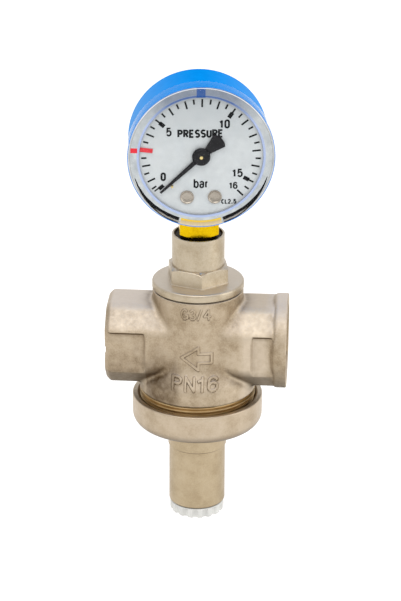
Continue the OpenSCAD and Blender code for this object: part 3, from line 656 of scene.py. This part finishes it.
# Each row: strokes, their half width, how far they stand out, and the width of their soft edge
RAISED = ((ARROW, 0.52, 0.34, 0.34), (SIZE_MARK, 0.36, 0.3, 0.3), (RATING_MARK, 0.5, 0.5, 0.34))
BARREL_R, SKIRT_R, BONNET_SEAT_R = 16.6, 21.3, 20.3
RIM_TOP, SKIRT_END, CORE_END = 20.05, -18.7, -25.9
PORT_END, INLET_NECK_END = 33, 27.9
NECK_HALF_WIDTH, NECK_HALF_HEIGHT, NECK_CORNER, NECK_R, BEAD_R = 15.95, 15.6, 16.5, 17.25, 17.4
FLAT_DEPTH, FLAT_HALF_HEIGHT, FLAT_CENTRE = 14.95, 7.55, -0.4
DIAGONAL = 0.70711
# Each row: radius, bottom and top of a bore on the valve's axis
BORES = ((14.3, 12, 21), (12.5, 1.5, 12.5), (12.5, -15, -1.5), (8.5, -2, 2), (3.05, -19, -14),
         (17, -26.5, -18))


def barrel_radius(z):
    """The barrel flares into the skirt over the bonnet."""
    slope = BARREL_R + 0.05 + (-5.2 - z) * 0.56
    return smin(smax(np.full_like(z, BARREL_R), slope, 1.8), np.full_like(z, SKIRT_R), 1.0)


def body_field(p, marks=False):
    """Signed size of the gap between points and the cast body's skin, below zero inside the metal."""
    x, y, z = p[..., 0], p[..., 1], p[..., 2]
    ax, ay, az = np.abs(x), np.abs(y), np.abs(z)
    r = np.hypot(x, y)
    q = np.hypot(y, z)
    barrel = (r - barrel_radius(z)) * 0.93
    rim = np.maximum(z - RIM_TOP, (r - BARREL_R + (z - 19.8)) * 0.7)
    barrel = smax(barrel, rim, 0.25)
    # Necks: flattened rounds that narrow towards the barrel
    run = np.clip((ax - 6.0) / 13.4, 0, 1)
    waist = 0.855 + 0.145 * (1 - (1 - run) ** 2)
    wy, wz = ay / waist, az / waist
    neck = smax(wy - NECK_HALF_WIDTH, (wy + wz) * DIAGONAL - NECK_CORNER, 1.5)
    neck = smax(neck, wz - NECK_HALF_HEIGHT, 1.8)
    neck = smax(neck, q / waist - NECK_R, 0.6)
    # Wrench flats cut into the necks, front and back
    flat_end = np.where(x < 0, -17.9 - x, x - 20.1)
    ramp = 0.75 * (flat_end - 1.1 * np.clip(NECK_HALF_WIDTH - ay, 0, 2))
    pocket = np.maximum(FLAT_DEPTH - ay, np.maximum(np.abs(z - FLAT_CENTRE) - FLAT_HALF_HEIGHT, -ramp))
    neck = smax(neck, -pocket, 0.28)
    outlet = smax(neck, (neck + (-PORT_END - x) + 1.55) * DIAGONAL, 0.5)
    outlet = smax(outlet, -PORT_END - x, 0.3)
    outlet = np.maximum(outlet, x)
    inlet = smax(neck, x - INLET_NECK_END, 0.3)
    inlet = np.maximum(inlet, -x)
    bead = smax(q - BEAD_R, (27.3 - x + (q - 15.7) * 0.9) * 0.74, 0.7)
    bead = smax(bead, x - PORT_END, 0.5)
    field = smin(barrel, np.minimum(outlet, inlet), 1.7)
    field = smin(field, bead, 0.8)
    # The cast skirt stops above the thread for the bonnet
    field = smax(field, SKIRT_END - z, 0.5)
    core = np.maximum(r - BONNET_SEAT_R, np.maximum(CORE_END - z, z + 15))
    field = np.minimum(field, core)
    if marks:
        near = (y < -10) & (ax < 9)
        u, v = x[near], z[near]
        lift = np.zeros_like(u)
        for lines, half_width, height, edge in RAISED:
            lift = np.maximum(lift, height * ease((half_width - stroke_distance(u, v, lines)) / edge + 0.5))
        raised = np.zeros_like(field)
        raised[near] = lift
        field = field - raised
    # Bores, chambers and passages
    holes = np.maximum(q - 13.3, 17.0 - ax)
    holes = smin(holes, np.maximum(q - 10.5, 15.4 - ax), 0.3)
    in_pass = np.maximum(np.maximum(ay - 8, np.abs(z - 6.5) - 5), np.maximum(-x, x - 18))
    out_pass = np.maximum(np.maximum(ay - 8, np.abs(z + 6.5) - 5), np.maximum(x, -x - 18))
    holes = smin(holes, np.minimum(in_pass, out_pass), 0.8)
    for radius, bottom, top in BORES:
        holes = np.minimum(holes, np.maximum(r - radius, np.maximum(bottom - z, z - top)))
    for k in range(3):
        c, s = 9 * math.cos(k * 2.0944), 9 * math.sin(k * 2.0944)
        holes = np.minimum(holes, np.maximum(np.hypot(x - c, y - s) - 1.2, np.abs(z + 16.5) - 2.5))
    return smax(field, -holes, 0.3)


def slope_of(p, marks):
    g = np.zeros_like(p)
    for axis in range(3):
        step = np.zeros(3)
        step[axis] = 0.03
        g[:, axis] = (body_field(p + step, marks) - body_field(p - step, marks)) / 0.06
    return g


def settle(p, marks, rounds=4):
    """Moves points on to the body's skin."""
    for _ in range(rounds):
        g = slope_of(p, marks)
        f = body_field(p, marks)
        size = np.maximum((g * g).sum(1), 0.2)
        step = np.clip(f / size, -0.25, 0.25)
        p = p - g * step[:, None]
    return p


def skin_of(field, origin, cell):
    """Quads round a sampled field's zero level, one vertex in each crossed cell."""
    inside = field < 0
    nx, ny, nz = field.shape
    total = np.zeros((nx - 1, ny - 1, nz - 1, 3), np.float32)
    count = np.zeros((nx - 1, ny - 1, nz - 1), np.float32)
    for axis in range(3):
        a = [slice(None)] * 3
        b = [slice(None)] * 3
        a[axis], b[axis] = slice(None, -1), slice(1, None)
        fa, fb = field[tuple(a)], field[tuple(b)]
        cross = inside[tuple(a)] != inside[tuple(b)]
        t = np.where(cross, fa / np.where(cross, fa - fb, 1), 0)
        others = [k for k in range(3) if k != axis]
        for da in (0, 1):
            for db in (0, 1):
                sl = [slice(None)] * 3
                sl[others[0]] = slice(da, da + (nx, ny, nz)[others[0]] - 1)
                sl[others[1]] = slice(db, db + (nx, ny, nz)[others[1]] - 1)
                sl = tuple(sl)
                hit = cross[sl]
                count += hit
                total[..., axis] += np.where(hit, t[sl], 0)
                total[..., others[0]] += hit * da
                total[..., others[1]] += hit * db
    active = count > 0
    number = np.full(active.shape, -1, np.int64)
    number[active] = np.arange(active.sum())
    where = np.argwhere(active)
    points = (where + total[active] / count[active][:, None]) * cell + origin
    quads = []
    for axis in range(3):
        a = [slice(1, -1)] * 3
        b = [slice(1, -1)] * 3
        a[axis], b[axis] = slice(None, -1), slice(1, None)
        ia, ib = inside[tuple(a)], inside[tuple(b)]
        at = np.argwhere(ia != ib)
        at[:, [k for k in range(3) if k != axis]] += 1
        u, v = (axis + 1) % 3, (axis + 2) % 3
        corners = []
        for du, dv in ((-1, -1), (0, -1), (0, 0), (-1, 0)):
            c = at.copy()
            c[:, u] += du
            c[:, v] += dv
            corners.append(number[c[:, 0], c[:, 1], c[:, 2]])
        quad = np.stack(corners, 1)
        flip = ib[ia != ib]
        quad[flip] = quad[flip][:, ::-1]
        quads.append(quad)
    return points, np.concatenate(quads)


MARK_BANDS = ((-6.3, 4.1), (13.6, 18.4), (-12.9, -7.4))  # heights of the raised marks


def body_mesh():
    cell = 0.42
    lo, hi = np.array([-34.0, -22.5, -27.0]), np.array([34.0, 22.5, 21.5])
    n = np.ceil((hi - lo) / cell).astype(int) + 1
    axes = [lo[i] + np.arange(n[i]) * cell for i in range(3)]
    field = np.empty(n, np.float32)
    for i in range(0, n[0], 24):
        part = np.stack(np.meshgrid(axes[0][i:i + 24], axes[1], axes[2], indexing="ij"), -1)
        field[i:i + 24] = body_field(part)
    points, quads = skin_of(field, lo, cell)
    points = settle(points, False, 5)
    mesh = bpy.data.meshes.new("valve_body")
    mesh.from_pydata(points.tolist(), [], quads.tolist())
    # Smaller faces where the raised marks are
    bm = bmesh.new()
    bm.from_mesh(mesh)
    for _ in range(2):
        chosen = [e for e in bm.edges if all(
            v.co.y < -12 and -5.6 < v.co.x < 7.8 and any(a < v.co.z < b for a, b in MARK_BANDS)
            for v in e.verts)]
        bmesh.ops.subdivide_edges(bm, edges=chosen, cuts=1, use_grid_fill=True)
    bmesh.ops.triangulate(bm, faces=[f for f in bm.faces if len(f.verts) > 4])
    bm.to_mesh(mesh)
    bm.free()
    co = np.empty(len(mesh.vertices) * 3, np.float32)
    mesh.vertices.foreach_get("co", co)
    points = settle(co.reshape(-1, 3).astype(float), True, 4)
    normals = slope_of(points, True)
    steep = np.linalg.norm(normals, axis=1) + 1e-9
    normals /= steep[:, None]
    # Painted shade: how enclosed the skin is, from the free room in front of each point; the casting is painted
    # darker by it
    painted_shade_amount = np.zeros(len(points))
    for reach, weight in ((0.5, 0.45), (1.5, 0.45), (4.0, 0.5)):
        room = body_field(points + normals * reach, True) / (reach * np.minimum(steep, 1.0))
        painted_shade_amount += weight * np.clip(1 - room, 0, 1)
    # More painted shade under the outlet's side of the barrel and beside the outlet neck's inner end
    x, z = points[:, 0], points[:, 2]
    shade = ease((2.0 - x) / 8) * ease((4.0 - z) / 8) * ease((-x - 3.5) / 5)
    painted_shade_amount += 0.16 * ease((x + 18.5) / 3) * ease((-9 - x) / 4) * ease((7 - z) / 6)
    painted_shade_amount += 0.42 * shade * ease((-1.0 - z) / 6) * (x > -18) + 0.16 * shade
    painted_shade_amount = np.clip(painted_shade_amount, 0, 1).astype(np.float32)
    mesh.attributes.new("painted_shade_amount", "FLOAT", "POINT").data.foreach_set("value", painted_shade_amount)
    mesh.vertices.foreach_set("co", on_valve(points).astype(np.float32).ravel())
    mesh.update()
    mesh.shade_smooth()
    mesh.normals_split_custom_set_from_vertices(normals.tolist())
    return mesh


piece("valve_body_casting", body_mesh(), CAST, "housing", "valve_body")
for label, end in (("inlet", 1), ("outlet", -1)):
    skin = turned_to_x(thread(12.06, 13.2, 17.0, 32.6, 1.814, 144, 10, 0.9))
    skin = (skin[0] * np.array([end, 1, 1]), skin[1])
    piece(f"valve_body_{label}_thread", mesh_of(f"{label}_thread", skin, sharp=60), BARE_BRASS, "housing",
          "valve_body")
skin = thread(21.25, 20.35, -25.9, -18.4, 1.5, 160, 10, 0.6)
piece("valve_body_bonnet_thread", mesh_of("bonnet_thread", skin, sharp=60), OILY_BRASS, "housing",
      "valve_body")


# ---- cover

def top_cover():
    turned = lathe(soft([
        (6.02, 8.5), (9, 8.5, 0.3), (9, 12, 0.3), (14.25, 12, 0.4), (14.25, 18.3, 0.1), (12.6, 18.3, 0.2),
        (12.6, 20.08, 0.2), (15.3, 20.08), (15.3, 20.62), (16.74, 20.62, 0.3), (16.74, 23.6, 0.85),
        (9.53, 23.6), (9.53, 41.45, 0.16), (8.8, 41.45, 0.12),
        (8.8, 39.4), (6.6, 39.4, 0.2), (6.6, 28.5), (2.5, 28.5), (2.5, 18.5), (6.02, 18.5)
    ]), 168)
    xy, far = outline(6, 10.25, 0.4, 6, 10, math.radians(10))
    top, crown = 29.6, 10.6
    edge = top - np.maximum(far - crown, 0) * math.tan(math.radians(30))
    inward = xy * ((far - 0.16) / far)[:, None]
    around = xy / far[:, None]
    foot = xy * ((far + 0.3) / far)[:, None]
    shoulder = np.minimum(far - 0.16, crown)
    rings = [level(around * 9.0, 23.5), level(foot, 23.5), level(foot, 23.8),
             level(xy * ((far + 0.22) / far)[:, None], 23.93), level(xy * ((far + 0.05) / far)[:, None], 24.0),
             level(xy, 24.2), level(xy, edge - 0.16), level(inward, edge + 0.02),
             level(around * shoulder[:, None], np.minimum(edge + 0.12, top)), level(around * 9.9, top),
             level(around * 9.0, top)]
    return joined(turned, loft(rings, True, True))


piece("top_cover_turned", mesh_of("top_cover", top_cover(), sharp=28), TURNED, "housing", "top_cover")


# ---- bonnet and cap

bonnet = lathe(soft([
    (24, -21.4, 0.55), (24, -33, 4.0), (10.8, -33, 1.5), (10.8, -42.4, 0.12), (10.4, -42.75, 0.12),
    (10.4, -65.9, 1.35), (8.6, -65.9, 0.2), (8.6, -31.4), (17, -31.4, 0.3), (17, -28.2), (21.35, -28.2),
    (21.35, -22.2), (22.3, -21.4, 0.15)
], 9), 192)
bonnet_mesh = mesh_of("spring_bonnet", bonnet, sharp=28)
piece("spring_bonnet_turned", bonnet_mesh, WARM, "housing", "spring_bonnet")
bonnet_mesh.materials.append(PAINTED_SHADE_BRASS)
bonnet_mesh.materials.append(WARM_RING)
# Bonnet faces tucked into the gap under the body's skirt get near-black brass as painted shade; the top ring
# gets the ring finish with painted top light
for poly in bonnet_mesh.polygons:
    at = (np.array(poly.center) - VALVE) / MM
    if math.hypot(at[0], at[1]) < 22.2 and at[2] > -32 and poly.normal.z < 0.6 or abs(at[2] + 28.2) < 0.05:
        poly.material_index = 1
    elif at[2] > -33.1:
        poly.material_index = 2


SCALLOPS, SCALLOP_R, SCALLOP_OUT = 16, 1.2, 0.3


def cap():
    """The adjusting cap: a cup with shallow scallops round its grip."""
    rim, low, high = 10.05, -70.1, -66.0
    n = SCALLOPS * 14
    pitch = 2 * math.pi / SCALLOPS
    a = np.arange(n) * 2 * math.pi / n
    off = (a + pitch / 2) % pitch - pitch / 2
    c = rim + SCALLOP_OUT
    cut = c * np.cos(off) - np.sqrt(np.maximum(SCALLOP_R ** 2 - (c * np.sin(off)) ** 2, 0))
    depth = np.clip(np.where(np.abs(np.sin(off)) < SCALLOP_R / c, rim - cut, 0), 0, None)
    rings = []
    for z, shrink, share in (
            (-61.4, 2.1, 0), (-61.4, 1.65, 0), (-61.55, 1.5, 0), (-63.2, 1.5, 0), (-63.2, 2.85, 0),
            (-64.6, 2.85, 0), (-64.6, 1.5, 0), (high, 1.5, 0), (high, 0.15, 0), (high - 0.15, 0, 0),
            (high - 0.4, 0, 0), (high - 0.55, 0, 0.7), (high - 0.75, 0, 1.0), (-69.1, 0, 1.0),
            (-69.6, 0.12, 1.0), (-69.9, 0.4, 0.95), (low, 0.85, 0.8), (low, 2.2, 0.25),
            (low + 0.25, 3.0, 0), (low + 0.25, 10.05, 0)):
        r = rim - shrink - depth * share
        rings.append(np.column_stack([r * np.cos(a), r * np.sin(a), np.full(n, z)]))
    outside = loft(rings)
    inside = lathe([(7.95, -61.4), (5.5, -61.4), (5.5, -65.9), (0, -65.9)], n, False)
    return joined(outside, inside)


piece("adjuster_cap_scalloped", mesh_of("adjuster_cap", cap(), sharp=40), WHITE, "cap", "adjuster_cap")


# ---- gauge

case = lathe(soft([
    (0, -8.4), (25, -8.4, 2.6), (25, 16.3, 0.2), (24.1, 16.3), (24.1, -7.5, 1.7), (0, -7.5)
], 8), 192, False)
case_mesh = mesh_of("gauge_case", case, on_gauge, 30)
piece("gauge_case_shell", case_mesh, BLUE, "housing", "gauge_case")
case_mesh.materials.append(CASE_INSIDE)
for poly in case_mesh.polygons:
    centre = (np.array(poly.center) - GAUGE) @ GAUGE_AXES.T / MM
    away = np.array(poly.normal) @ GAUGE_AXES.T
    if centre @ (away * np.array([1, 1, 0])) < -1 or centre[2] > 16.2 or (away[2] > 0.3 and centre[2] < 0):
        poly.material_index = 1

window_profile = soft([
    (0, 19.1), (22.1, 19.1, 0.8), (24.7, 18.55, 0.7), (25.65, 18.0, 0.7), (26, 17.2, 0.6), (26, 10.6, 0.25),
    (25.05, 10.6, 0.1), (25.05, 17.0, 0.5), (24.1, 17.75, 0.4), (21.7, 18.2, 0.5), (0, 18.2)
], 5, False)
window = mesh_of("gauge_window", lathe(window_profile, 192, False), on_gauge, 40)
piece("gauge_window_clear", window, WINDOW_FACE, "housing", "gauge_window")
rim_skin = lathe([(21.7, 16.1), (21.7, 16.3), (23.0, 16.55), (24.4, 16.82), (25.9, 17.12)], 240, False)
piece("gauge_window_rim_painted_view", mesh_of("gauge_window_rim_painted_view", rim_skin, on_gauge, 60), PAINTED_RIM_VIEW, "housing",
      "gauge_window")


def socket():
    xy, far = outline(4, 7, 0.35, 6, 10, GAUGE_TURN)
    around = xy / far[:, None]
    bottom, start = 41.9, 7.6
    rise = bottom + np.maximum(far - start, 0) * math.tan(math.radians(30))
    foot = np.minimum(far, start)
    rings = [level(around * 6.0, bottom), level(around * (foot - 0.25)[:, None], bottom),
             level(around * foot[:, None], bottom + 0.12),
             level(xy * ((far - 0.03) / far)[:, None], rise + 0.05),
             level(xy, rise + 0.2), level(xy, 52.5), level(around * 3.0, 52.5)]
    square = loft(rings)
    neck = lathe(soft([(1.5, 29.5), (5.6, 29.5, 0.2), (5.6, 40.6), (8.3, 40.6, 0.15), (8.3, 40.95, 0.15),
                       (6.8, 40.95, 0.3), (6.8, 42.2), (1.5, 42.2)]), 96)
    screw = thread(6.53, 5.75, 29.6, 40.6, 1.337, 96, 10, 0.8)
    flat = spun(outline(4, 1, 0.04, 4, 2)[0] * [7.0, 5.0], GAUGE_TURN)
    inner = loft([level(flat * 0.2, 51.3), level(flat, 51.3), level(flat, 63.9), level(flat * 0.97, 64.1),
                  level(flat * 0.2, 64.1)])
    return joined(square, neck, screw, inner)


socket_mesh = mesh_of("gauge_socket", socket(), sharp=30)
piece("gauge_socket_brass", socket_mesh, BRIGHT_BRASS, "housing", "gauge_socket")
socket_mesh.materials.append(PAINTED_SHADE_BRASS)
# Faces below the socket's square get near-black brass, painted shade at the socket's mouth
for poly in socket_mesh.polygons:
    if poly.center.z / MM < 42.0:
        poly.material_index = 1

# Dial print: height of the dial's face, then where its scale starts, how far it turns and where it ends
DIAL = 15.45
DIAL_START, DIAL_SWEEP, DIAL_MAX = 223.3, 268.2, 16  # degrees, degrees, bar
MARKER_AT, TICK_OUT = 6, 20.95  # the set marker stands in for the stroke at 3 bar


def ribbon(line, width):
    """A flat stroke of even width along a polyline."""
    pts = np.array([p for i, p in enumerate(line) if i == 0 or math.dist(p, line[i - 1]) > 1e-6], float)
    closed = len(pts) > 3 and math.dist(pts[0], pts[-1]) < 1e-6
    if closed:
        pts = pts[:-1]
    n = len(pts)
    ahead = np.roll(pts, -1, 0) - pts
    ahead /= np.linalg.norm(ahead, axis=1)[:, None] + 1e-12
    behind = np.roll(ahead, 1, 0)
    if not closed:
        behind[0], ahead[-1] = ahead[0], behind[-1]
    left_a, left_b = ahead[:, ::-1] * [-1, 1], behind[:, ::-1] * [-1, 1]
    mid = left_a + left_b
    mid /= np.linalg.norm(mid, axis=1)[:, None] + 1e-12
    reach = width / 2 / np.maximum((mid * left_a).sum(1), 0.5)
    skin = np.concatenate([pts + mid * reach[:, None], pts - mid * reach[:, None]])
    faces = [(i, n + i, n + (i + 1) % n, (i + 1) % n) for i in range(n if closed else n - 1)]
    return np.column_stack([skin, np.zeros(2 * n)]), faces


def radial(angle, inner, outer, width):
    return ribbon([polar(inner, angle), polar(outer, angle)], width)


marks = []
for half_bar in range(1, 2 * DIAL_MAX + 1):
    angle = DIAL_START - DIAL_SWEEP * half_bar / 2 / DIAL_MAX
    if half_bar == MARKER_AT:
        continue
    marks.append(radial(angle, 19.1 if half_bar % 2 else 18.0, TICK_OUT, 0.64))
    if half_bar in (10, 20, 30):
        marks.append(radial(angle, 16.95, 19.15, 1.45))
marks += [radial(218.3, 19.0, 20.8, 0.5), radial(219.2, 16.95, 19.05, 1.4)]
for text, x, y, widths, height, gap, line in (
        ("0", -13.25, -7.5, (1.2,), 2.5, 0, 0.72),
        ("5", -11.3, 9.0, (1.4,), 2.65, 0, 0.62),
        ("10", 8.05, 11.75, (0.95, 1.25), 2.65, 0.95, 0.7),
        ("15", 12.75, -6.4, (0.95, 1.4), 2.55, 0.9, 0.64),
        ("16", 11.35, -11.05, (0.75, 1.15), 2.1, 0.7, 0.54),
        ("bar", 0.0, -10.1, (1.3, 1.3, 0.6), 3.1, 0.72, 0.6),
        ("CL2.5", 9.85, -17.0, (0.72, 0.55, 0.72, 0.25, 0.72), 1.4, 0.5, 0.42),
        ("PRESSURE", -0.3, 8.3, (1.2,) * 8, 2.4, 0.82, 0.72)):
    for stroke in written(text, x, y, widths, height, gap):
        marks.append(ribbon(stroke, line))
print_skin = moved(joined(*marks), 0, 0, DIAL + 0.02)
ink = bpy.data.meshes.new("dial_print")
ink.from_pydata(on_gauge(print_skin[0]).tolist(), [], print_skin[1])
piece("gauge_dial_print", ink, INK, "housing", None)

# Pointer, drawn at its rest angle
POINT_AT = math.radians(223)
tail = [polar(9.75 - 0.0016 * (a - 180) ** 2, a) for a in np.linspace(161, 199, 13)]
arm = [(2.2, -0.85), (19.5, -0.36), (19.5, 0.36), (2.2, 0.85), (0, 1.4), (-1.6, 0.9), *tail,
       (-1.6, -0.9), (0, -1.4)]
blade = plate("gauge_pointer", [spun(arm, POINT_AT)], 16.0, 16.4, 0.08, on_gauge)
hub = lathe(soft([
    (0.5, 16.0), (3.2, 16.0, 0.1), (3.2, 16.7, 0.3), (2.7, 17.42, 0.25), (0.5, 17.46, 0.1)
]), 72)
hub_mesh = mesh_of("gauge_pointer_hub", hub, on_gauge, 35)
piece("gauge_pointer_blade", blade, BLACK, "pointer", "gauge_pointer")
piece("gauge_pointer_hub", hub_mesh, BLACK, "pointer", "gauge_pointer")

heads = []
for side in (-1, 1):
    dish = lathe(soft([
        (0, 15.44), (1.0, 15.45, 0.5), (1.8, 15.62, 0.5), (2.2, 15.98, 0.1), (2.45, 15.98, 0.12), (2.45, 15.42)
    ], 4, False), 64, False)
    heads.append(moved(dish, side * 4.9, -15.2))
piece("dial_screw_heads", mesh_of("dial_screws", joined(*heads), on_gauge, 30), SCREW, "housing",
      "dial_screws")


# ---- regulating spring

def spring_half(low, high, name):
    """Part of the spring's wire between two shares of its length. Its end turns are closed."""
    turns, wire, coil, top, foot = 6.0, 1.28, 6.45, -28.9, -50.4
    span = top - foot - 2.6
    closed = 1 / turns
    s = np.arange(16) * 2 * math.pi / 16
    rings = []
    steps = int(260 * (high - low))
    for i in range(steps + 1):
        t = low + (high - low) * i / steps
        if t < closed:
            rise = 2.6 * t / closed
        elif t > 1 - closed:
            rise = span - 2.6 * (1 - t) / closed
        else:
            rise = 2.6 + (span - 5.2) * (t - closed) / (1 - 2 * closed)
        turn = 2 * math.pi * turns * t
        r = coil + wire * np.cos(s)
        height = foot + 1.3 + rise + wire * np.sin(s)
        rings.append(np.column_stack([r * math.cos(turn), r * math.sin(turn), height]))
    return piece(name, mesh_of(name, capped(rings), sharp=50), SPRING_STEEL, None)


upper = spring_half(0.5, 1.0, "regulating_spring_upper")
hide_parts("regulating_spring")
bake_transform(upper)
lower = spring_half(0.0, 0.5, "regulating_spring_lower")
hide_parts("regulating_spring")
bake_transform(lower)

# ---- diaphragm and pressure tube, which flex in use, built here as separate pieces

rubber_lo, rubber_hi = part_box("diaphragm")
plate_lo, plate_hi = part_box("diaphragm_plate")
rubber_out, plate_out = ((hi[0] - lo[0]) / 2 / MM for lo, hi in ((rubber_lo, rubber_hi), (plate_lo, plate_hi)))
cuts = [4.3, plate_out + 0.1, (plate_out + 17) / 2, 16.7, rubber_out]
section = [(r, rubber_lo[2] / MM) for r in cuts] + [(r, rubber_hi[2] / MM) for r in cuts[::-1]]
for part in range(18):
    wedge_name = "diaphragm_slice_%02d" % (part + 1)
    grid = [[(*polar(r, angle), z) for r, z in section] for angle in np.linspace(part * 20, part * 20 + 20, 4)]
    v, f = loft([np.array(ring) for ring in grid])
    ends = len(grid[0])
    for k in range(len(cuts) - 1):
        f.append((k, k + 1, ends - 2 - k, ends - 1 - k))
        f.append(tuple(len(v) - ends + i for i in (ends - 1 - k, ends - 2 - k, k + 1, k)))
    wedge_mesh = mesh_of(wedge_name, (v, f), sharp=40)
    slice_obj = piece(wedge_name, wedge_mesh, RUBBER, None)
    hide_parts("diaphragm")
    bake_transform(slice_obj)


TUBE_R, TUBE_HALF_THICK, TUBE_HALF_FLAT = 19, 1.1, 2.4


def tube_part(start, end, name):
    """A length of the flattened tube's arc, angles in degrees round the dial's centre."""
    section = [(TUBE_HALF_THICK * math.cos(t), side * TUBE_HALF_FLAT + TUBE_HALF_THICK * math.sin(t))
               for side, first in ((1, 0), (-1, math.pi)) for t in np.linspace(first, first + math.pi, 9)]
    rings = [np.array([(*polar(TUBE_R + u, angle), w) for u, w in section])
             for angle in np.linspace(start, end, max(6, int(abs(end - start) / 4)))]
    return piece(name, mesh_of(name, capped(rings, True), on_gauge, 50), MOVEMENT_BRASS, None)


fixed_length = tube_part(248, 100, "bourdon_tube_fixed_length")
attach(fixed_length, "housing")
free_length = tube_part(100, 4, "bourdon_tube_free_length")
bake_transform(free_length)
for length in (fixed_length, free_length):
    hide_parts("bourdon_tube")

# ---- finishes of the CAD nodes that stay

FINISH = {
    STEEL: ("seat_ring", "spring_seat", "diaphragm_nut", "thrust_washer", "movement_screws", "sector_arbor"),
    RUBBER: ("cover_o_ring", "piston_o_ring", "seat_seal", "cap_seal"),
    INNER_BRASS: ("valve_stem", "balance_piston", "seal_holder", "seal_nut", "diaphragm_plate",
                  "adjusting_screw"),
    MOVEMENT_BRASS: ("zero_stop_pin", "dial_posts", "movement_back_plate", "movement_front_plate",
                     "movement_pillars", "tube_tip", "connecting_link", "sector_gear", "pointer_arbor",
                     "hairspring"),
    # The gauge's seal washer is painted near-black as shade at the socket's mouth
    WASHER_PLASTIC: ("slip_ring",), WASHER_PAINTED_SHADE: ("gauge_seal_washer",), DIAL_WHITE: ("gauge_dial",),
    RED: ("set_marker",),
}
for material, nodes in FINISH.items():
    for node in nodes:
        NODES[node].data.materials.clear()
        NODES[node].data.materials.append(material)

# ---- stage

floor_mesh = bpy.data.meshes.new("floor")
low = SIZE_BEFORE[0].z - 0.0095  # clear of the cap when it is screwed right out
floor_mesh.from_pydata([(-3, -3, low), (3, -3, low), (3, 3, low), (-3, 3, low)], [], [(0, 1, 2, 3)])
floor = placed("floor", floor_mesh)
floor_mesh.materials.append(plain_stuff("floor", (0.9, 0.9, 0.9), (0.885, 0.885, 0.885), (0.7, 0.8), 2.0,
                                        0.01, Emission_Color=(1, 1, 1, 1), Emission_Strength=0.3))

world = bpy.data.worlds.new("studio")
bpy.context.scene.world = world
world.use_nodes = True
background = world.node_tree.nodes["Background"].inputs
background["Color"].default_value = (1.0, 0.99, 0.985, 1)
background["Strength"].default_value = 0.85


def softbox(name, at, towards, size, power, colour):
    data = bpy.data.lights.new(name, "AREA")
    data.shape = "RECTANGLE"
    data.size, data.size_y = size
    data.energy = power
    data.color = colour
    obj = placed(name, data)
    obj.location = at
    obj.rotation_euler = (Vector(towards) - Vector(at)).to_track_quat("-Z", "Y").to_euler()


middle = tuple(on_valve([0, 0, 15]))
softbox("key", (VALVE[0] - 0.1, -0.45, 0.75), middle, (0.9, 0.5), 3.0, (1.0, 0.985, 0.97))
softbox("left", (VALVE[0] - 0.8, -0.25, 0.3), middle, (0.4, 0.8), 0.1, (0.97, 0.98, 1.0))
softbox("right", (VALVE[0] + 0.8, -0.2, 0.3), middle, (0.4, 0.8), 1.9, (0.97, 0.98, 1.0))

# ---- camera

camera = bpy.data.cameras.new("camera")
camera.sensor_fit = "HORIZONTAL"
camera.sensor_width = 36
camera.lens = 215.6
camera.clip_start, camera.clip_end = 0.05, 20
eye = placed("camera", camera)
bpy.context.scene.camera = eye
AZIMUTH, ELEVATION, ROLL = math.radians(3.9), math.radians(23.95), math.radians(0.35)
DISTANCE, RAISE, SHIFT = 0.883, 0.01354, 0.00092  # metres
flat = math.cos(ELEVATION)
back = Vector((math.sin(AZIMUTH) * flat, -math.cos(AZIMUTH) * flat, math.sin(ELEVATION)))
right = Vector((math.cos(AZIMUTH), math.sin(AZIMUTH), 0))
up = back.cross(right)
origin = Vector(VALVE)
eye.location = origin + back * DISTANCE
target = origin + up * RAISE + right * SHIFT
eye.rotation_mode = "QUATERNION"
aim = (target - eye.location).to_track_quat("-Z", "Y")
eye.rotation_quaternion = aim @ Quaternion((0, 0, 1), ROLL)

bpy.context.scene.view_settings.view_transform = "Standard"
